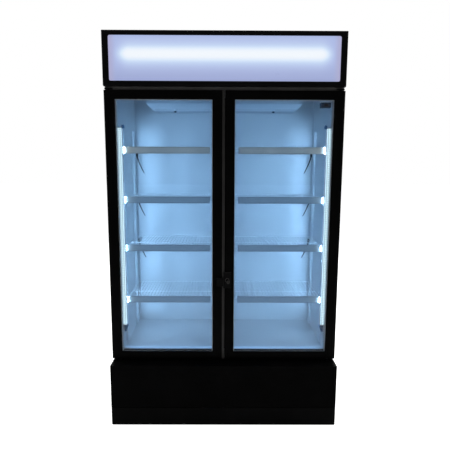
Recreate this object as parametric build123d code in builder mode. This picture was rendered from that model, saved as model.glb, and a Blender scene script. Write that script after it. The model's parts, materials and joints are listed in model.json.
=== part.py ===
from build123d import *
from math import ceil, cos, pi, radians, sin
import os

# Two-door upright glass door merchandiser with a lit canopy.
# Millimetres. X to the right, Y to the back, Z up.
# The origin is the centre of the footprint, on the floor.

os.makedirs("parts", exist_ok=True)

# ------------------------------------------------------------------ driving dimensions
# cabinet
cabinet_w = 1130.0        # overall width, also of the canopy, the doors and the base
cabinet_h = 1905.0        # roof height above the floor
overall_d = 650.0         # base front to rear panel
base_h = 320.0            # top of the base cover
base_reach = 60.0         # base cover ahead of the door fronts
wall_t = 50.0             # insulated wall, outer skin to liner face
roof_t = 55.0             # insulated roof
skin_t = 1.0              # outer sheet steel
liner_t = 1.5             # inner liner
skirt_gap = 8.0           # side panels above the floor
header_drop = 30.0        # door top rail overlap on the header
frame_t = 20.0            # depth of the door-opening frame
frame_lip = 2.0           # frame standing proud of the liner face
header_strip_h = 50.0     # height of the frame's top bar
mullion_w = 76.0
mullion_t = 30.0
seam = 0.2                # joint line between pieces of one assembly
seat = 0.3                # rest clearance of a piece on its seat

# canopy
canopy_h = 246.0
canopy_rise = 9.0         # canopy top above the roof
canopy_reach = 7.0        # canopy front ahead of the door fronts
canopy_sheet_t = 1.2
bezel_side_w = 29.0
bezel_top_w = 21.0
bezel_bottom_w = 23.5
bezel_t = 10.0
light_panel_t = 3.0
light_panel_lap = 9.0     # light panel hidden behind the bezel, each side
tube_d = 26.0
tube_sides = 16           # flats of its drawn glass
tube_end_gap = 77.0       # tube end to the canopy's side
tube_drop = 102.0         # tube centre below the canopy top
tube_back = 33.0          # tube centre behind the canopy front

# doors
door_t = 42.0
seal_t = 8.0              # door back to cabinet front
door_gap = 6.0            # between the two doors
door_lift = 15.0          # above the base
door_headroom = 16.0      # below the canopy
stile_w = 50.5
top_rail_w = 45.0
bottom_rail_w = 50.0
edge_break = 4.0          # chamfer on the frame's outer front edges
glass_set = 7.0           # glass face behind the frame face
pane_t = 4.0
pane_gap = 12.0
glazing_fit = 0.15        # glass unit in its pocket, each face
pocket_d = 12.0           # glazing pocket depth
pane_inset = 3.0          # pane edge to pocket floor
spacer_w = 10.0
gasket_w = 14.0
gasket_inset = 18.0       # door edge to gasket
hinge_inset = 16.0        # pivot from the door's side edge
hinge_back = 20.0         # pivot behind the door face
pin_d = 10.0
pin_fit = 0.08            # radial running clearance of pins, shafts and cylinders
pin_len = 26.0
bracket_t = 5.0
collar_d = 20.0

# lock
lock_above = 401.0        # lock centre above the door's lower edge
lock_back_from_gap = 21.0 # cylinder centre from the cabinet centreline
housing_w = 38.5
housing_h = 80.0
housing_t = 12.0
housing_skin = 5.0
cylinder_d = 16.0
cylinder_proud = 3.5
cam_w = 12.0
cam_t = 3.0
cam_len = 38.0
cam_fit = 0.5
keeper_w = 32.0
keeper_h = 40.0

# shelves
slot_pitch = 24.5
shelf_low_z = 636.5       # top of the lowest shelf's label strip
shelf_count = 4
top_shelf_gap = 94.0      # uprights' top above the highest strip
shelf_front_back = 96.0   # label strip face behind the door face
shelf_back_gap = 67.0     # shelf rear to the liner
shelf_side_gap = 4.0
rod_d = 5.0
rod_sides = 6             # flats of a drawn rod
wire_d = 3.0
wire_sides = 4            # flats of a drawn wire
wire_rest = 0.05          # wires above the middle and rear rods they lie on
wire_pitch = 16.0
mid_rod_back = 139.0      # middle rod behind the strip face
strip_h = 34.0
strip_t = 2.0
strip_lip = 9.0
strip_rise = 6.0          # strip top above the wires
strip_inset = 28.0        # strip end short of the shelf, at the centre
pilaster_w = 30.0
pilaster_d = 12.0
pilaster_t = 1.5
pilaster_lift = 10.0      # above the liner floor
pilaster_drop = 110.0     # below the evaporator cover
pilaster_front_back = 34.0  # front pilaster's centre behind the shelf front
pilaster_rear_in = 26.0   # rear pilaster's centre ahead of the shelf rear
slot_w = 4.0
slot_h = 13.0
clip_w = 14.0
clip_arm = 18.0
clip_t = 2.5
clip_lip = 4.0
clip_back_h = 8.0
tie_head = 7.0
tie_w = 3.6
tie_t = 1.4
tie_len = 100.0

# cabinet lights
led_low_z = 480.0
led_head_gap = 138.0      # below the door opening's head
led_base_w = 15.0
led_base_t = 2.0
led_lens_d = 22.0         # lens reach from its base
led_lens_w = 16.0
led_cap_h = 22.0
led_cap_extra = 1.5

# light switch at the top of the right jamb
switch_w = 48.0
switch_d = 40.0
switch_h = 24.0
switch_drop = 15.0        # below the door opening's head
switch_setback = 75.0     # front of the box behind the door face
rocker_w = 18.0
rocker_h = 12.0
rocker_t = 6.0
rocker_fit = 0.8
rocker_pin_d = 3.0
rocker_pin_len = 3.0      # beyond each side of the rocker

# evaporator
cover_w = 824.0
cover_h = 250.0           # below the ceiling
cover_d = 245.0           # ahead of the rear liner
cover_t = 1.5
cover_bevel = 25.0
evap_fan_x = 200.0
evap_fan_above = 140.0    # fan centre above the cover's underside
evap_fan_d = 150.0
fan_opening_gap = 5.0     # blade tip to opening
coil_w = 640.0
coil_d = 90.0
coil_h = 170.0
fin_t = 2.0
fin_gaps = 12
knob_x = 263.0
knob_d = 26.0
knob_h = 9.0
knob_back = 55.0          # behind the cover front

# base and condensing unit
base_sheet_t = 1.2
fold_break = 1.6          # softened outer edge of a fold
plinth_top = 97.0
plinth_gap = 3.0          # dark joint between plinth and base cover
plinth_bottom = 5.0
plinth_setback = 2.0
tray_t = 3.0
tray_z = 40.0             # top of the feet
foot_d = 40.0             # across the flats
foot_stem_d = 12.0
foot_pad_h = 10.0
foot_inset = 60.0
compressor_d = 165.0
compressor_h = 190.0
compressor_sides = 18     # flats of its drawn shell
compressor_dome_h = 26.0
compressor_dome_in = 40.0
compressor_foot_break = 14.0
compressor_x = 300.0
compressor_ahead = 195.0  # centre ahead of the rear panel
condenser_w = 300.0
condenser_h = 230.0
condenser_d = 60.0
condenser_x = -300.0
condenser_setback = 175.0 # block centre behind the base front
condenser_fan_d = 172.0
shroud_t = 2.0
shroud_ring = 20.0
ring_sides = 18           # flats of the shroud's ring
motor_d = 70.0
motor_len = 55.0
shaft_d = 8.0
shaft_len = 34.0
line_d = 8.0
line_bend = 60.0
vent_bar = 40.0
vent_h = 12.0
vent_pitch = 40.0
vent_columns = 4
vent_rows = 4
inlet_x = 450.0
inlet_w = 48.0
inlet_h = 34.0
inlet_d = 24.0
inlet_lift = 12.0         # inlet above the base tray

# ------------------------------------------------------------------ derived places
half_w = cabinet_w / 2
base_y = -overall_d / 2
door_y = base_y + base_reach
front_y = door_y + door_t + seal_t
rear_y = overall_d / 2
liner_x = half_w - wall_t
liner_y = rear_y - wall_t
floor_z = base_h + wall_t
ceiling_z = cabinet_h - roof_t
canopy_top = cabinet_h + canopy_rise
canopy_z = canopy_top - canopy_h
canopy_y = door_y - canopy_reach
door_z = base_h + door_lift
door_top = canopy_z - door_headroom
head_z = door_top - header_drop
frame_x = liner_x - frame_lip
frame_back_y = front_y + frame_t
skin_x = half_w - skin_t
header_back_y = front_y + wall_t
deck_top = base_h + skin_t
frame_head_top = head_z + header_strip_h

door_in_x = door_gap / 2
glass_y = door_y + glass_set
unit_t = 2 * pane_t + pane_gap
hinge_x = half_w - hinge_inset
hinge_y = door_y + hinge_back
lock_z = door_z + lock_above

shelf_y = door_y + shelf_front_back
cover_bottom_z = ceiling_z - cover_h
pilaster_top = cover_bottom_z - pilaster_drop
top_slots = round((pilaster_top - top_shelf_gap - shelf_low_z) / slot_pitch)
shelf_slots = [ceil(top_slots * n / (shelf_count - 1)) for n in range(shelf_count)]
shelf_levels = [shelf_low_z + slot_pitch * n for n in shelf_slots]
shelf_d = liner_y - shelf_back_gap - shelf_y
post_x = mullion_w / 2
pilaster_x = liner_x - pilaster_d
shelf_in_x = post_x + shelf_side_gap
shelf_out_x = pilaster_x - shelf_side_gap
front_rod_y = shelf_y + strip_t + seat + rod_d / 2
rear_rod_y = shelf_y + shelf_d - rod_d / 2
front_clip_y = shelf_y + pilaster_front_back
rear_clip_y = shelf_y + shelf_d - pilaster_rear_in
wire_drop = strip_rise + wire_d / 2               # strip top to run wire centre
wire_flat = wire_d / 2 * cos(pi / wire_sides)     # wire centre to its flat
rod_flat = rod_d / 2 * cos(pi / rod_sides)        # rod centre to its flat
rod_drop = wire_drop + wire_flat + rod_flat
clip_drop = rod_drop + rod_flat + seat            # strip top to clip seat
slot_rise = (clip_back_h - clip_t) / 2            # slot centre above a clip's seat

cover_y = liner_y - cover_d
evap_fan_z = cover_bottom_z + evap_fan_above


# ------------------------------------------------------------------ helpers
def finish(piece, name):
    """Label a finished piece and write its STEP file."""
    piece.part.label = name
    export_step(piece.part, f"parts/{name}.step")


def slab(x0, x1, y0, y1, z0, z1, mode=Mode.ADD):
    """Sheet or block between two corners, in the part being built."""
    with Locations(((x0 + x1) / 2, (y0 + y1) / 2, (z0 + z1) / 2)):
        Box(x1 - x0, y1 - y0, z1 - z0, mode=mode)


def bar_z(points, z0, z1):
    """Upright bar: an (x, y) profile drawn up from z0 to z1."""
    with BuildSketch(Plane.XY.offset(z0)) as section:
        with BuildLine():
            Polyline(*points, close=True)
        make_face()
    extrude(section.sketch, amount=z1 - z0)


def bar_x(points, x0, x1):
    """Cross bar: a (y, z) profile drawn from x0 to x1."""
    with BuildSketch(Plane.YZ.offset(x0)) as section:
        with BuildLine():
            Polyline(*points, close=True)
        make_face()
    extrude(section.sketch, amount=x1 - x0)


def rod_y(x, z, y0, y1, diameter, mode=Mode.ADD):
    """Round bar along Y."""
    with BuildSketch(Plane.XZ.offset(-y0)) as section:
        with Locations((x, z)):
            Circle(diameter / 2)
    extrude(section.sketch, amount=y0 - y1, mode=mode)


def rod_x(y, z, x0, x1, diameter, mode=Mode.ADD):
    """Round bar along X."""
    with BuildSketch(Plane.YZ.offset(x0)) as section:
        with Locations((y, z)):
            Circle(diameter / 2)
    extrude(section.sketch, amount=x1 - x0, mode=mode)


def rod_z(x, y, z0, z1, diameter, mode=Mode.ADD):
    """Round bar along Z."""
    with BuildSketch(Plane.XY.offset(z0)) as section:
        with Locations((x, y)):
            Circle(diameter / 2)
    extrude(section.sketch, amount=z1 - z0, mode=mode)


def flat_rod_x(y, z, x0, x1, diameter, sides):
    """Wire or rod along X, drawn with a flat on top."""
    with BuildSketch(Plane.YZ.offset(x0)) as section:
        with Locations((y, z)):
            RegularPolygon(diameter / 2, sides, rotation=180 / sides + 90)
    extrude(section.sketch, amount=x1 - x0)


def flat_rod_y(x, z, y0, y1, diameter, sides):
    """Wire or rod along Y, drawn with a flat on top."""
    with BuildSketch(Plane.XZ.offset(-y0)) as section:
        with Locations((x, z)):
            RegularPolygon(diameter / 2, sides, rotation=180 / sides + 90)
    extrude(section.sketch, amount=y0 - y1)


def poly_z(x, y, z0, z1, across, sides):
    """Flat-sided bar along Z, sized across its flats."""
    with BuildSketch(Plane.XY.offset(z0)) as section:
        with Locations((x, y)):
            RegularPolygon(across / 2, sides, major_radius=False)
    extrude(section.sketch, amount=z1 - z0)


def finned_block(x0, x1, y0, y1, z0, z1, count, gap, spine):
    """Heat exchanger: a block with upright grooves, open to the front and closed by a spine."""
    slab(x0, x1, y0, y1, z0, z1)
    pitch = (x1 - x0) / (count + 1)
    for n in range(1, count + 1):
        x = x0 + n * pitch
        slab(x - gap / 2, x + gap / 2, y0, y1 - spine, z0, z1, mode=Mode.SUBTRACT)


def mirrored(piece):
    """The same piece, handed to the other side of the cabinet."""
    with BuildPart() as other:
        mirror(piece.part, about=Plane.YZ)
    return other


def rotor(x, y, z, tip_r, hub_r, hub_len, bore_d, blades, chord, blade_t, pitch):
    """Axial fan: bored hub on a Y axis with tapered blades set at a pitch angle."""
    with BuildPart() as fan:
        with BuildSketch(Plane.XZ.offset(-(y - hub_len / 2))):
            with Locations((x, z)):
                RegularPolygon(hub_r, 2 * blades, rotation=180 / (2 * blades))
                Circle(bore_d / 2, mode=Mode.SUBTRACT)
        extrude(amount=-hub_len)
        for n in range(blades):
            turn = 2 * pi * n / blades
            out = Vector(cos(turn), 0, sin(turn))
            around = Vector(-sin(turn), 0, cos(turn))
            lean = around * cos(radians(pitch)) + Vector(0, 1, 0) * sin(radians(pitch))
            with BuildSketch(Plane(origin=Vector(x, y, z), x_dir=out, z_dir=out.cross(lean))):
                with BuildLine():
                    Polyline(
                        (hub_r - 4, -chord / 4),
                        (tip_r - chord * 0.12, -chord / 2),
                        (tip_r, -chord * 0.3),
                        (tip_r, chord * 0.3),
                        (tip_r - chord * 0.12, chord / 2),
                        (hub_r - 4, chord / 4),
                        close=True,
                    )
                make_face()
            extrude(amount=blade_t / 2, both=True)
    return fan


# ------------------------------------------------------------------ cabinet shell
with BuildPart() as side_panels:
    slab(skin_x, half_w, front_y, rear_y, skirt_gap, cabinet_h)
    mirror(about=Plane.YZ)
finish(side_panels, "side_panels")

inner_x = skin_x - seam
inner_rear_y = rear_y - skin_t
with BuildPart() as outer_skin:
    # rear sheet, roof, deck over the machine room, header sheet behind the canopy
    slab(-inner_x, inner_x, inner_rear_y, rear_y, base_h, cabinet_h)
    slab(-inner_x, inner_x, front_y, inner_rear_y - seam, cabinet_h - skin_t, cabinet_h)
    slab(-inner_x, inner_x, front_y, inner_rear_y - seam, base_h, deck_top)
    slab(
        -inner_x,
        inner_x,
        front_y,
        front_y + skin_t,
        frame_head_top + seam,
        cabinet_h - skin_t - seam,
    )
finish(outer_skin, "outer_skin")

foam_x = liner_x + liner_t
foam_y = liner_y + liner_t
foam_floor = floor_z - liner_t
foam_ceiling = ceiling_z + liner_t
foam_head_y = header_back_y - liner_t
roof_z = cabinet_h - skin_t
with BuildPart() as foam_insulation:
    for side in (-1, 1):
        near, far = sorted((side * (foam_x + seam), side * skin_x))
        slab(near, far, frame_back_y, inner_rear_y, deck_top, roof_z)
    slab(-foam_x, foam_x, foam_y, inner_rear_y, deck_top, roof_z)
    slab(-foam_x, foam_x, frame_back_y, foam_y - seam, deck_top, foam_floor)
    slab(-foam_x, foam_x, front_y + skin_t, foam_y - seam, foam_ceiling, roof_z)
    slab(-liner_x, liner_x, front_y + skin_t, foam_head_y, frame_head_top + seam, foam_ceiling - seam)
    slab(-liner_x, liner_x, frame_back_y, foam_head_y, head_z + liner_t, frame_head_top)
finish(foam_insulation, "foam_insulation")

# ------------------------------------------------------------------ liner
with BuildPart() as liner:
    # side walls, rear wall, floor, ceiling, then the inside of the header and its soffit
    slab(liner_x, foam_x, frame_back_y, foam_y, foam_floor, foam_ceiling)
    mirror(about=Plane.YZ)
    edge_x = liner_x - seam
    slab(-edge_x, edge_x, liner_y, foam_y, floor_z, ceiling_z)
    slab(-edge_x, edge_x, frame_back_y, foam_y, foam_floor, floor_z - seam)
    slab(-edge_x, edge_x, header_back_y, foam_y, ceiling_z + seam, foam_ceiling)
    slab(-edge_x, edge_x, foam_head_y, header_back_y - seam, head_z + liner_t + seam, foam_ceiling)
    slab(-edge_x, edge_x, frame_back_y, header_back_y, head_z, head_z + liner_t)
finish(liner, "liner")

# door-opening frame: four bars, chamfered towards the opening
with BuildPart() as front_frame:
    for side in (-1, 1):
        bar_z(
            [
                (side * skin_x, front_y),
                (side * (frame_x + edge_break), front_y),
                (side * frame_x, front_y + edge_break),
                (side * frame_x, frame_back_y),
                (side * skin_x, frame_back_y),
            ],
            deck_top,
            head_z - seam,
        )
    slab(-skin_x, skin_x, front_y, frame_back_y, head_z, frame_head_top)
    slab(-frame_x + seam, frame_x - seam, front_y, frame_back_y, deck_top, floor_z)
finish(front_frame, "front_frame")

with BuildPart() as center_mullion:
    bar_z(
        [
            (-post_x, front_y + mullion_t),
            (-post_x, front_y + edge_break),
            (-post_x + edge_break, front_y),
            (post_x - edge_break, front_y),
            (post_x, front_y + edge_break),
            (post_x, front_y + mullion_t),
        ],
        floor_z,
        head_z,
    )
finish(center_mullion, "center_mullion")

# ------------------------------------------------------------------ shelf uprights
clip_zs = [level - clip_drop for level in shelf_levels]
slot_zs = [z + slot_rise for z in clip_zs]

with BuildPart() as pilasters:
    for y in (front_clip_y, rear_clip_y):
        bar_z(
            [
                (liner_x, y - pilaster_w / 2),
                (pilaster_x, y - pilaster_w / 2),
                (pilaster_x, y + pilaster_w / 2),
                (liner_x, y + pilaster_w / 2),
                (liner_x, y + pilaster_w / 2 - pilaster_t),
                (pilaster_x + pilaster_t, y + pilaster_w / 2 - pilaster_t),
                (pilaster_x + pilaster_t, y - pilaster_w / 2 + pilaster_t),
                (liner_x, y - pilaster_w / 2 + pilaster_t),
            ],
            floor_z + pilaster_lift,
            pilaster_top,
        )
        with BuildSketch(Plane.YZ.offset(pilaster_x)):
            with Locations([(y, z) for z in slot_zs]):
                Rectangle(slot_w, slot_h)
        extrude(amount=pilaster_t, mode=Mode.SUBTRACT)
    mirror(about=Plane.YZ)
finish(pilasters, "pilasters")


def center_post(web_y, back_y, clip_y):
    """Channel between the shelves, open at back_y, slotted in both cheeks at the clips."""
    step = 1 if back_y > web_y else -1
    bar_z(
        [
            (-post_x, back_y),
            (-post_x, web_y),
            (post_x, web_y),
            (post_x, back_y),
            (post_x - pilaster_t, back_y),
            (post_x - pilaster_t, web_y + step * pilaster_t),
            (-post_x + pilaster_t, web_y + step * pilaster_t),
            (-post_x + pilaster_t, back_y),
        ],
        floor_z,
        pilaster_top,
    )
    with BuildSketch(Plane.YZ.offset(-post_x)) as slots:
        for z in clip_zs:
            with Locations((clip_y, z + slot_rise)):
                Rectangle(slot_w, slot_h)
    extrude(slots.sketch, amount=2 * post_x, mode=Mode.SUBTRACT)


with BuildPart() as center_posts:
    center_post(front_clip_y + pilaster_w / 2, front_y + mullion_t, front_clip_y)
    center_post(rear_clip_y - pilaster_w / 2, liner_y, rear_clip_y)
finish(center_posts, "center_posts")


# ------------------------------------------------------------------ shelves
def clip_profile(face_x, reach):
    """Shelf clip section in (x, z), its heel in a slot; reach is +1 or -1 along X."""
    heel_x = face_x - reach * pilaster_t
    tip_x = face_x + reach * clip_arm
    return [
        (heel_x, -clip_t),
        (tip_x, -clip_t),
        (tip_x, clip_lip),
        (tip_x - reach * clip_t, 0),
        (face_x + reach * clip_t, 0),
        (heel_x, clip_back_h - clip_t),
    ]


clip_body_w = slot_w - 2 * seat
with BuildPart() as shelf_clips:
    for side in (-1, 1):
        for face_x, reach in ((side * pilaster_x, -side), (side * post_x, side)):
            for y in (front_clip_y, rear_clip_y):
                for z in clip_zs:
                    with BuildSketch(Plane.XZ.offset(-(y - clip_body_w / 2))):
                        with BuildLine():
                            Polyline(*[(u, v + z) for u, v in clip_profile(face_x, reach)], close=True)
                        make_face()
                    extrude(amount=-clip_body_w)
finish(shelf_clips, "shelf_clips")


def wire_shelf(level):
    """Right-hand wire shelf: a rod frame, a middle rod and the run wires welded in front."""
    frame_z = level - rod_drop
    run_z = level - wire_drop
    in_x = shelf_in_x + rod_d / 2
    out_x = shelf_out_x - rod_d / 2
    count = round((out_x - in_x) / wire_pitch) - 1
    with BuildPart() as shelf:
        for y in (front_rod_y, rear_rod_y):
            sink = 0 if y == front_rod_y else wire_rest
            flat_rod_x(y, frame_z - sink, shelf_in_x, shelf_out_x, rod_d, rod_sides)
        flat_rod_x(shelf_y + mid_rod_back, frame_z - wire_rest, in_x, out_x, rod_d, rod_sides)
        for x in (in_x, out_x):
            flat_rod_y(x, frame_z - wire_rest, front_rod_y, rear_rod_y, rod_d, rod_sides)
        with BuildSketch(Plane.XZ.offset(-front_rod_y)):
            with Locations(((in_x + out_x) / 2, run_z)):
                with GridLocations((out_x - in_x) / (count + 1), 1, count, 1):
                    RegularPolygon(wire_d / 2, wire_sides, rotation=180 / wire_sides + 90)
        extrude(amount=front_rod_y - rear_rod_y)
    return shelf


for number, level in enumerate(reversed(shelf_levels), start=1):
    right_shelf = wire_shelf(level)
    finish(right_shelf, f"shelf_right_{number}")
    finish(mirrored(right_shelf), f"shelf_left_{number}")

# label strips: a C section clipped over each shelf's front rod
with BuildPart() as label_strips:
    for level in shelf_levels:
        bar_x(
            [
                (shelf_y, level - strip_h),
                (shelf_y, level),
                (shelf_y + strip_lip, level),
                (shelf_y + strip_lip, level - strip_t),
                (shelf_y + strip_t, level - strip_t),
                (shelf_y + strip_t, level - strip_h + strip_t),
                (shelf_y + strip_lip / 2, level - strip_h + strip_t),
                (shelf_y + strip_lip / 2, level - strip_h),
            ],
            shelf_in_x + strip_inset,
            shelf_out_x,
        )
    mirror(about=Plane.YZ)
finish(label_strips, "label_strips")

# cable ties that hold the rear corners of the shelves, with loose tails
with BuildPart() as shelf_ties:
    tie_x = shelf_out_x - rod_d - tie_w
    tie_y = rear_rod_y + rod_d / 2 + seat
    for side in (-1, 1):
        for level in shelf_levels[1:]:
            top_z = level - rod_drop + tie_head / 2
            slab(
                side * tie_x - tie_head / 2,
                side * tie_x + tie_head / 2,
                tie_y,
                tie_y + tie_head,
                top_z - tie_head,
                top_z,
            )
            with BuildSketch(Plane.XZ.offset(-(tie_y + tie_head / 2))):
                with BuildLine():
                    Polyline(
                        (side * (tie_x + tie_w / 2), top_z - tie_head),
                        (side * (tie_x + tie_w / 2 - 6), top_z - tie_head - tie_len * 0.55),
                        (side * (tie_x + tie_w / 2 - 27), top_z - tie_head - tie_len),
                        (side * (tie_x - tie_w / 2 - 6), top_z - tie_head - tie_len * 0.55 + 2),
                        (side * (tie_x - tie_w / 2), top_z - tie_head),
                        close=True,
                    )
                make_face()
            extrude(amount=-tie_t)
finish(shelf_ties, "shelf_ties")

# ------------------------------------------------------------------ cabinet lights
led_y = front_y + edge_break + 1
led_top = head_z - led_head_gap
with BuildPart() as led_bases:
    slab(frame_x - led_base_t, frame_x, led_y, led_y + led_base_w, led_low_z, led_top)
    mirror(about=Plane.YZ)
finish(led_bases, "led_bases")

lens_x = frame_x - led_base_t
with BuildPart() as led_lenses:
    bar_z(
        [
            (lens_x, led_y),
            (lens_x - led_lens_d * 0.7, led_y),
            (lens_x - led_lens_d, led_y + led_lens_w * 0.4),
            (lens_x - led_lens_d, led_y + led_lens_w * 0.8),
            (lens_x - led_lens_d * 0.7, led_y + led_lens_w),
            (lens_x, led_y + led_lens_w),
        ],
        led_low_z + led_cap_h,
        led_top - led_cap_h,
    )
    mirror(about=Plane.YZ)
finish(led_lenses, "led_lenses")

with BuildPart() as led_end_caps:
    for side in (-1, 1):
        near, far = sorted((side * lens_x, side * (lens_x - led_lens_d - led_cap_extra)))
        for z in (led_low_z, led_top - led_cap_h + seam):
            slab(
                near,
                far,
                led_y - led_cap_extra,
                led_y + led_lens_w + led_cap_extra,
                z,
                z + led_cap_h - seam,
            )
finish(led_end_caps, "led_end_caps")

# ------------------------------------------------------------------ light switch
switch_y = door_y + switch_setback
switch_top = head_z - switch_drop
rocker_x = liner_x - switch_w / 2
rocker_z = switch_top - switch_h / 2
rocker_pivot_y = switch_y + rocker_t / 2
rocker_pin_reach = rocker_w / 2 + rocker_pin_len
with BuildPart() as light_switch_box:
    slab(
        liner_x - switch_w,
        liner_x,
        switch_y,
        switch_y + switch_d,
        switch_top - switch_h,
        switch_top,
    )
    slab(
        rocker_x - rocker_w / 2 - seat,
        rocker_x + rocker_w / 2 + seat,
        switch_y,
        switch_y + rocker_t + 2,
        rocker_z - rocker_h / 2 - rocker_fit,
        rocker_z + rocker_h / 2 + rocker_fit,
        mode=Mode.SUBTRACT,
    )
    rod_x(
        rocker_pivot_y,
        rocker_z,
        rocker_x - rocker_pin_reach - seat,
        rocker_x + rocker_pin_reach + seat,
        rocker_pin_d + 2 * pin_fit,
        mode=Mode.SUBTRACT,
    )
finish(light_switch_box, "light_switch_box")

with BuildPart() as light_switch_rocker:
    bar_x(
        [
            (switch_y - 1.0, rocker_z - rocker_h / 2),
            (switch_y + 1.2, rocker_z),
            (switch_y - 1.0, rocker_z + rocker_h / 2),
            (switch_y + rocker_t - 2, rocker_z + rocker_h / 2),
            (switch_y + rocker_t, rocker_z + 2),
            (switch_y + rocker_t, rocker_z - 2),
            (switch_y + rocker_t - 2, rocker_z - rocker_h / 2),
        ],
        rocker_x - rocker_w / 2,
        rocker_x + rocker_w / 2,
    )
    rod_x(rocker_pivot_y, rocker_z, rocker_x - rocker_pin_reach, rocker_x + rocker_pin_reach, rocker_pin_d)
finish(light_switch_rocker, "light_switch_rocker")

# ------------------------------------------------------------------ evaporator
cover_half = cover_w / 2
opening_d = evap_fan_d + 2 * fan_opening_gap
with BuildPart() as evaporator_cover:
    slab(-cover_half, cover_half, cover_y, liner_y, cover_bottom_z, ceiling_z)
    lower = evaporator_cover.faces().sort_by(Axis.Z)[0]
    chamfer(
        lower.edges().filter_by(Axis.X).sort_by(Axis.Y)[0:1] + lower.edges().filter_by(Axis.Y),
        cover_bevel,
    )
    shell_openings = [
        evaporator_cover.faces().sort_by(Axis.Z)[-1],
        evaporator_cover.faces().sort_by(Axis.Y)[-1],
    ]
    offset(amount=-cover_t, openings=shell_openings)
    for x in (-evap_fan_x, evap_fan_x):
        rod_y(x, evap_fan_z, cover_y - 1, cover_y + cover_t + 1, opening_d, mode=Mode.SUBTRACT)
    # folded joints between the tray, the front and the cheeks
    joint_z = cover_bottom_z + cover_bevel + cover_t
    slab(-cover_half, cover_half, cover_y, liner_y, joint_z, joint_z + seam, mode=Mode.SUBTRACT)
    joint_y = cover_y + cover_t
    slab(
        -cover_half,
        cover_half,
        joint_y,
        joint_y + seam,
        joint_z,
        ceiling_z,
        mode=Mode.SUBTRACT,
    )
finish(evaporator_cover, "evaporator_cover")

coil_y = liner_y - coil_d - 20
coil_z = cover_bottom_z + cover_t + seat
with BuildPart() as evaporator_coil:
    finned_block(
        -coil_w / 2,
        coil_w / 2,
        coil_y,
        coil_y + coil_d,
        coil_z,
        coil_z + coil_h,
        fin_gaps,
        coil_w / (fin_gaps + 1) - fin_t,
        fin_t,
    )
finish(evaporator_coil, "evaporator_coil")

fan_y = cover_y + 22
motor_y = fan_y + 18
with BuildPart() as evap_fan_motors:
    for x in (-evap_fan_x, evap_fan_x):
        slab(x - 28, x + 28, motor_y, motor_y + 40, evap_fan_z - 28, evap_fan_z + 28)
        rod_y(x, evap_fan_z, fan_y - 12, motor_y, shaft_d)
        slab(
            x - 9,
            x + 9,
            motor_y + 40,
            motor_y + 43,
            evap_fan_z - opening_d / 2 - 12,
            evap_fan_z + opening_d / 2 + 12,
        )
        for z in (-1, 1):
            spot = evap_fan_z + z * (opening_d / 2 + 6)
            slab(x - 5, x + 5, cover_y + cover_t + seam, motor_y + 40, spot - 5, spot + 5)
finish(evap_fan_motors, "evap_fan_motors")

for name, x in (("evap_fan_left", -evap_fan_x), ("evap_fan_right", evap_fan_x)):
    fan = rotor(x, fan_y, evap_fan_z, evap_fan_d / 2, 20, 24, shaft_d + 2 * pin_fit, 5, 46, 2.5, 32)
    finish(fan, name)

with BuildPart() as cover_knobs:
    for x in (-knob_x, knob_x):
        poly_z(x, cover_y + knob_back, cover_bottom_z - 4, cover_bottom_z, knob_d, 12)
        poly_z(x, cover_y + knob_back, cover_bottom_z - knob_h, cover_bottom_z - 4, knob_d - 8, 6)
finish(cover_knobs, "cover_knobs")

# ------------------------------------------------------------------ canopy
canopy_back_y = front_y - seam
canopy_in_x = half_w - canopy_sheet_t
bezel_y = canopy_y + bezel_t
with BuildPart() as canopy_housing:
    slab(-half_w, half_w, bezel_y, canopy_back_y, canopy_z, canopy_top)
    slab(
        -canopy_in_x,
        canopy_in_x,
        bezel_y,
        canopy_back_y - canopy_sheet_t,
        canopy_z + canopy_sheet_t,
        canopy_top - canopy_sheet_t,
        mode=Mode.SUBTRACT,
    )
    # corner joints of the folded plates
    for x in (-canopy_in_x, canopy_in_x - seam):
        slab(x, x + seam, bezel_y, canopy_back_y, canopy_z, canopy_top, mode=Mode.SUBTRACT)
    for z in (canopy_z + canopy_sheet_t, canopy_top - canopy_sheet_t - seam):
        slab(-canopy_in_x, canopy_in_x, bezel_y, canopy_back_y, z, z + seam, mode=Mode.SUBTRACT)
finish(canopy_housing, "canopy_housing")

panel_y = bezel_y - light_panel_t
lip_t = bezel_t - light_panel_t - seam
with BuildPart() as canopy_bezel:
    for side in (-1, 1):
        bar_z(
            [
                (side * half_w, bezel_y - seam),
                (side * half_w, canopy_y + edge_break / 2),
                (side * (half_w - edge_break / 2), canopy_y),
                (side * (half_w - bezel_side_w + 2), canopy_y),
                (side * (half_w - bezel_side_w), canopy_y + 2),
                (side * (half_w - bezel_side_w), canopy_y + lip_t),
                (side * (half_w - bezel_side_w + light_panel_lap + seam), canopy_y + lip_t),
                (side * (half_w - bezel_side_w + light_panel_lap + seam), bezel_y - seam),
            ],
            canopy_z,
            canopy_top,
        )
    for edge_z, inner_z in ((canopy_z, canopy_z + bezel_bottom_w), (canopy_top, canopy_top - bezel_top_w)):
        way = 1 if inner_z > edge_z else -1
        bar_x(
            [
                (bezel_y - seam, edge_z),
                (canopy_y + edge_break / 2, edge_z),
                (canopy_y, edge_z + way * edge_break / 2),
                (canopy_y, inner_z - way * 2),
                (canopy_y + 2, inner_z),
                (canopy_y + lip_t, inner_z),
                (canopy_y + lip_t, inner_z - way * (light_panel_lap + seam)),
                (bezel_y - seam, inner_z - way * (light_panel_lap + seam)),
            ],
            -half_w + bezel_side_w + seam,
            half_w - bezel_side_w - seam,
        )
finish(canopy_bezel, "canopy_bezel")

with BuildPart() as canopy_light_panel:
    slab(
        -half_w + bezel_side_w - light_panel_lap,
        half_w - bezel_side_w + light_panel_lap,
        panel_y,
        bezel_y - seam,
        canopy_z + bezel_bottom_w - light_panel_lap,
        canopy_top - bezel_top_w + light_panel_lap,
    )
finish(canopy_light_panel, "canopy_light_panel")

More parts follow.
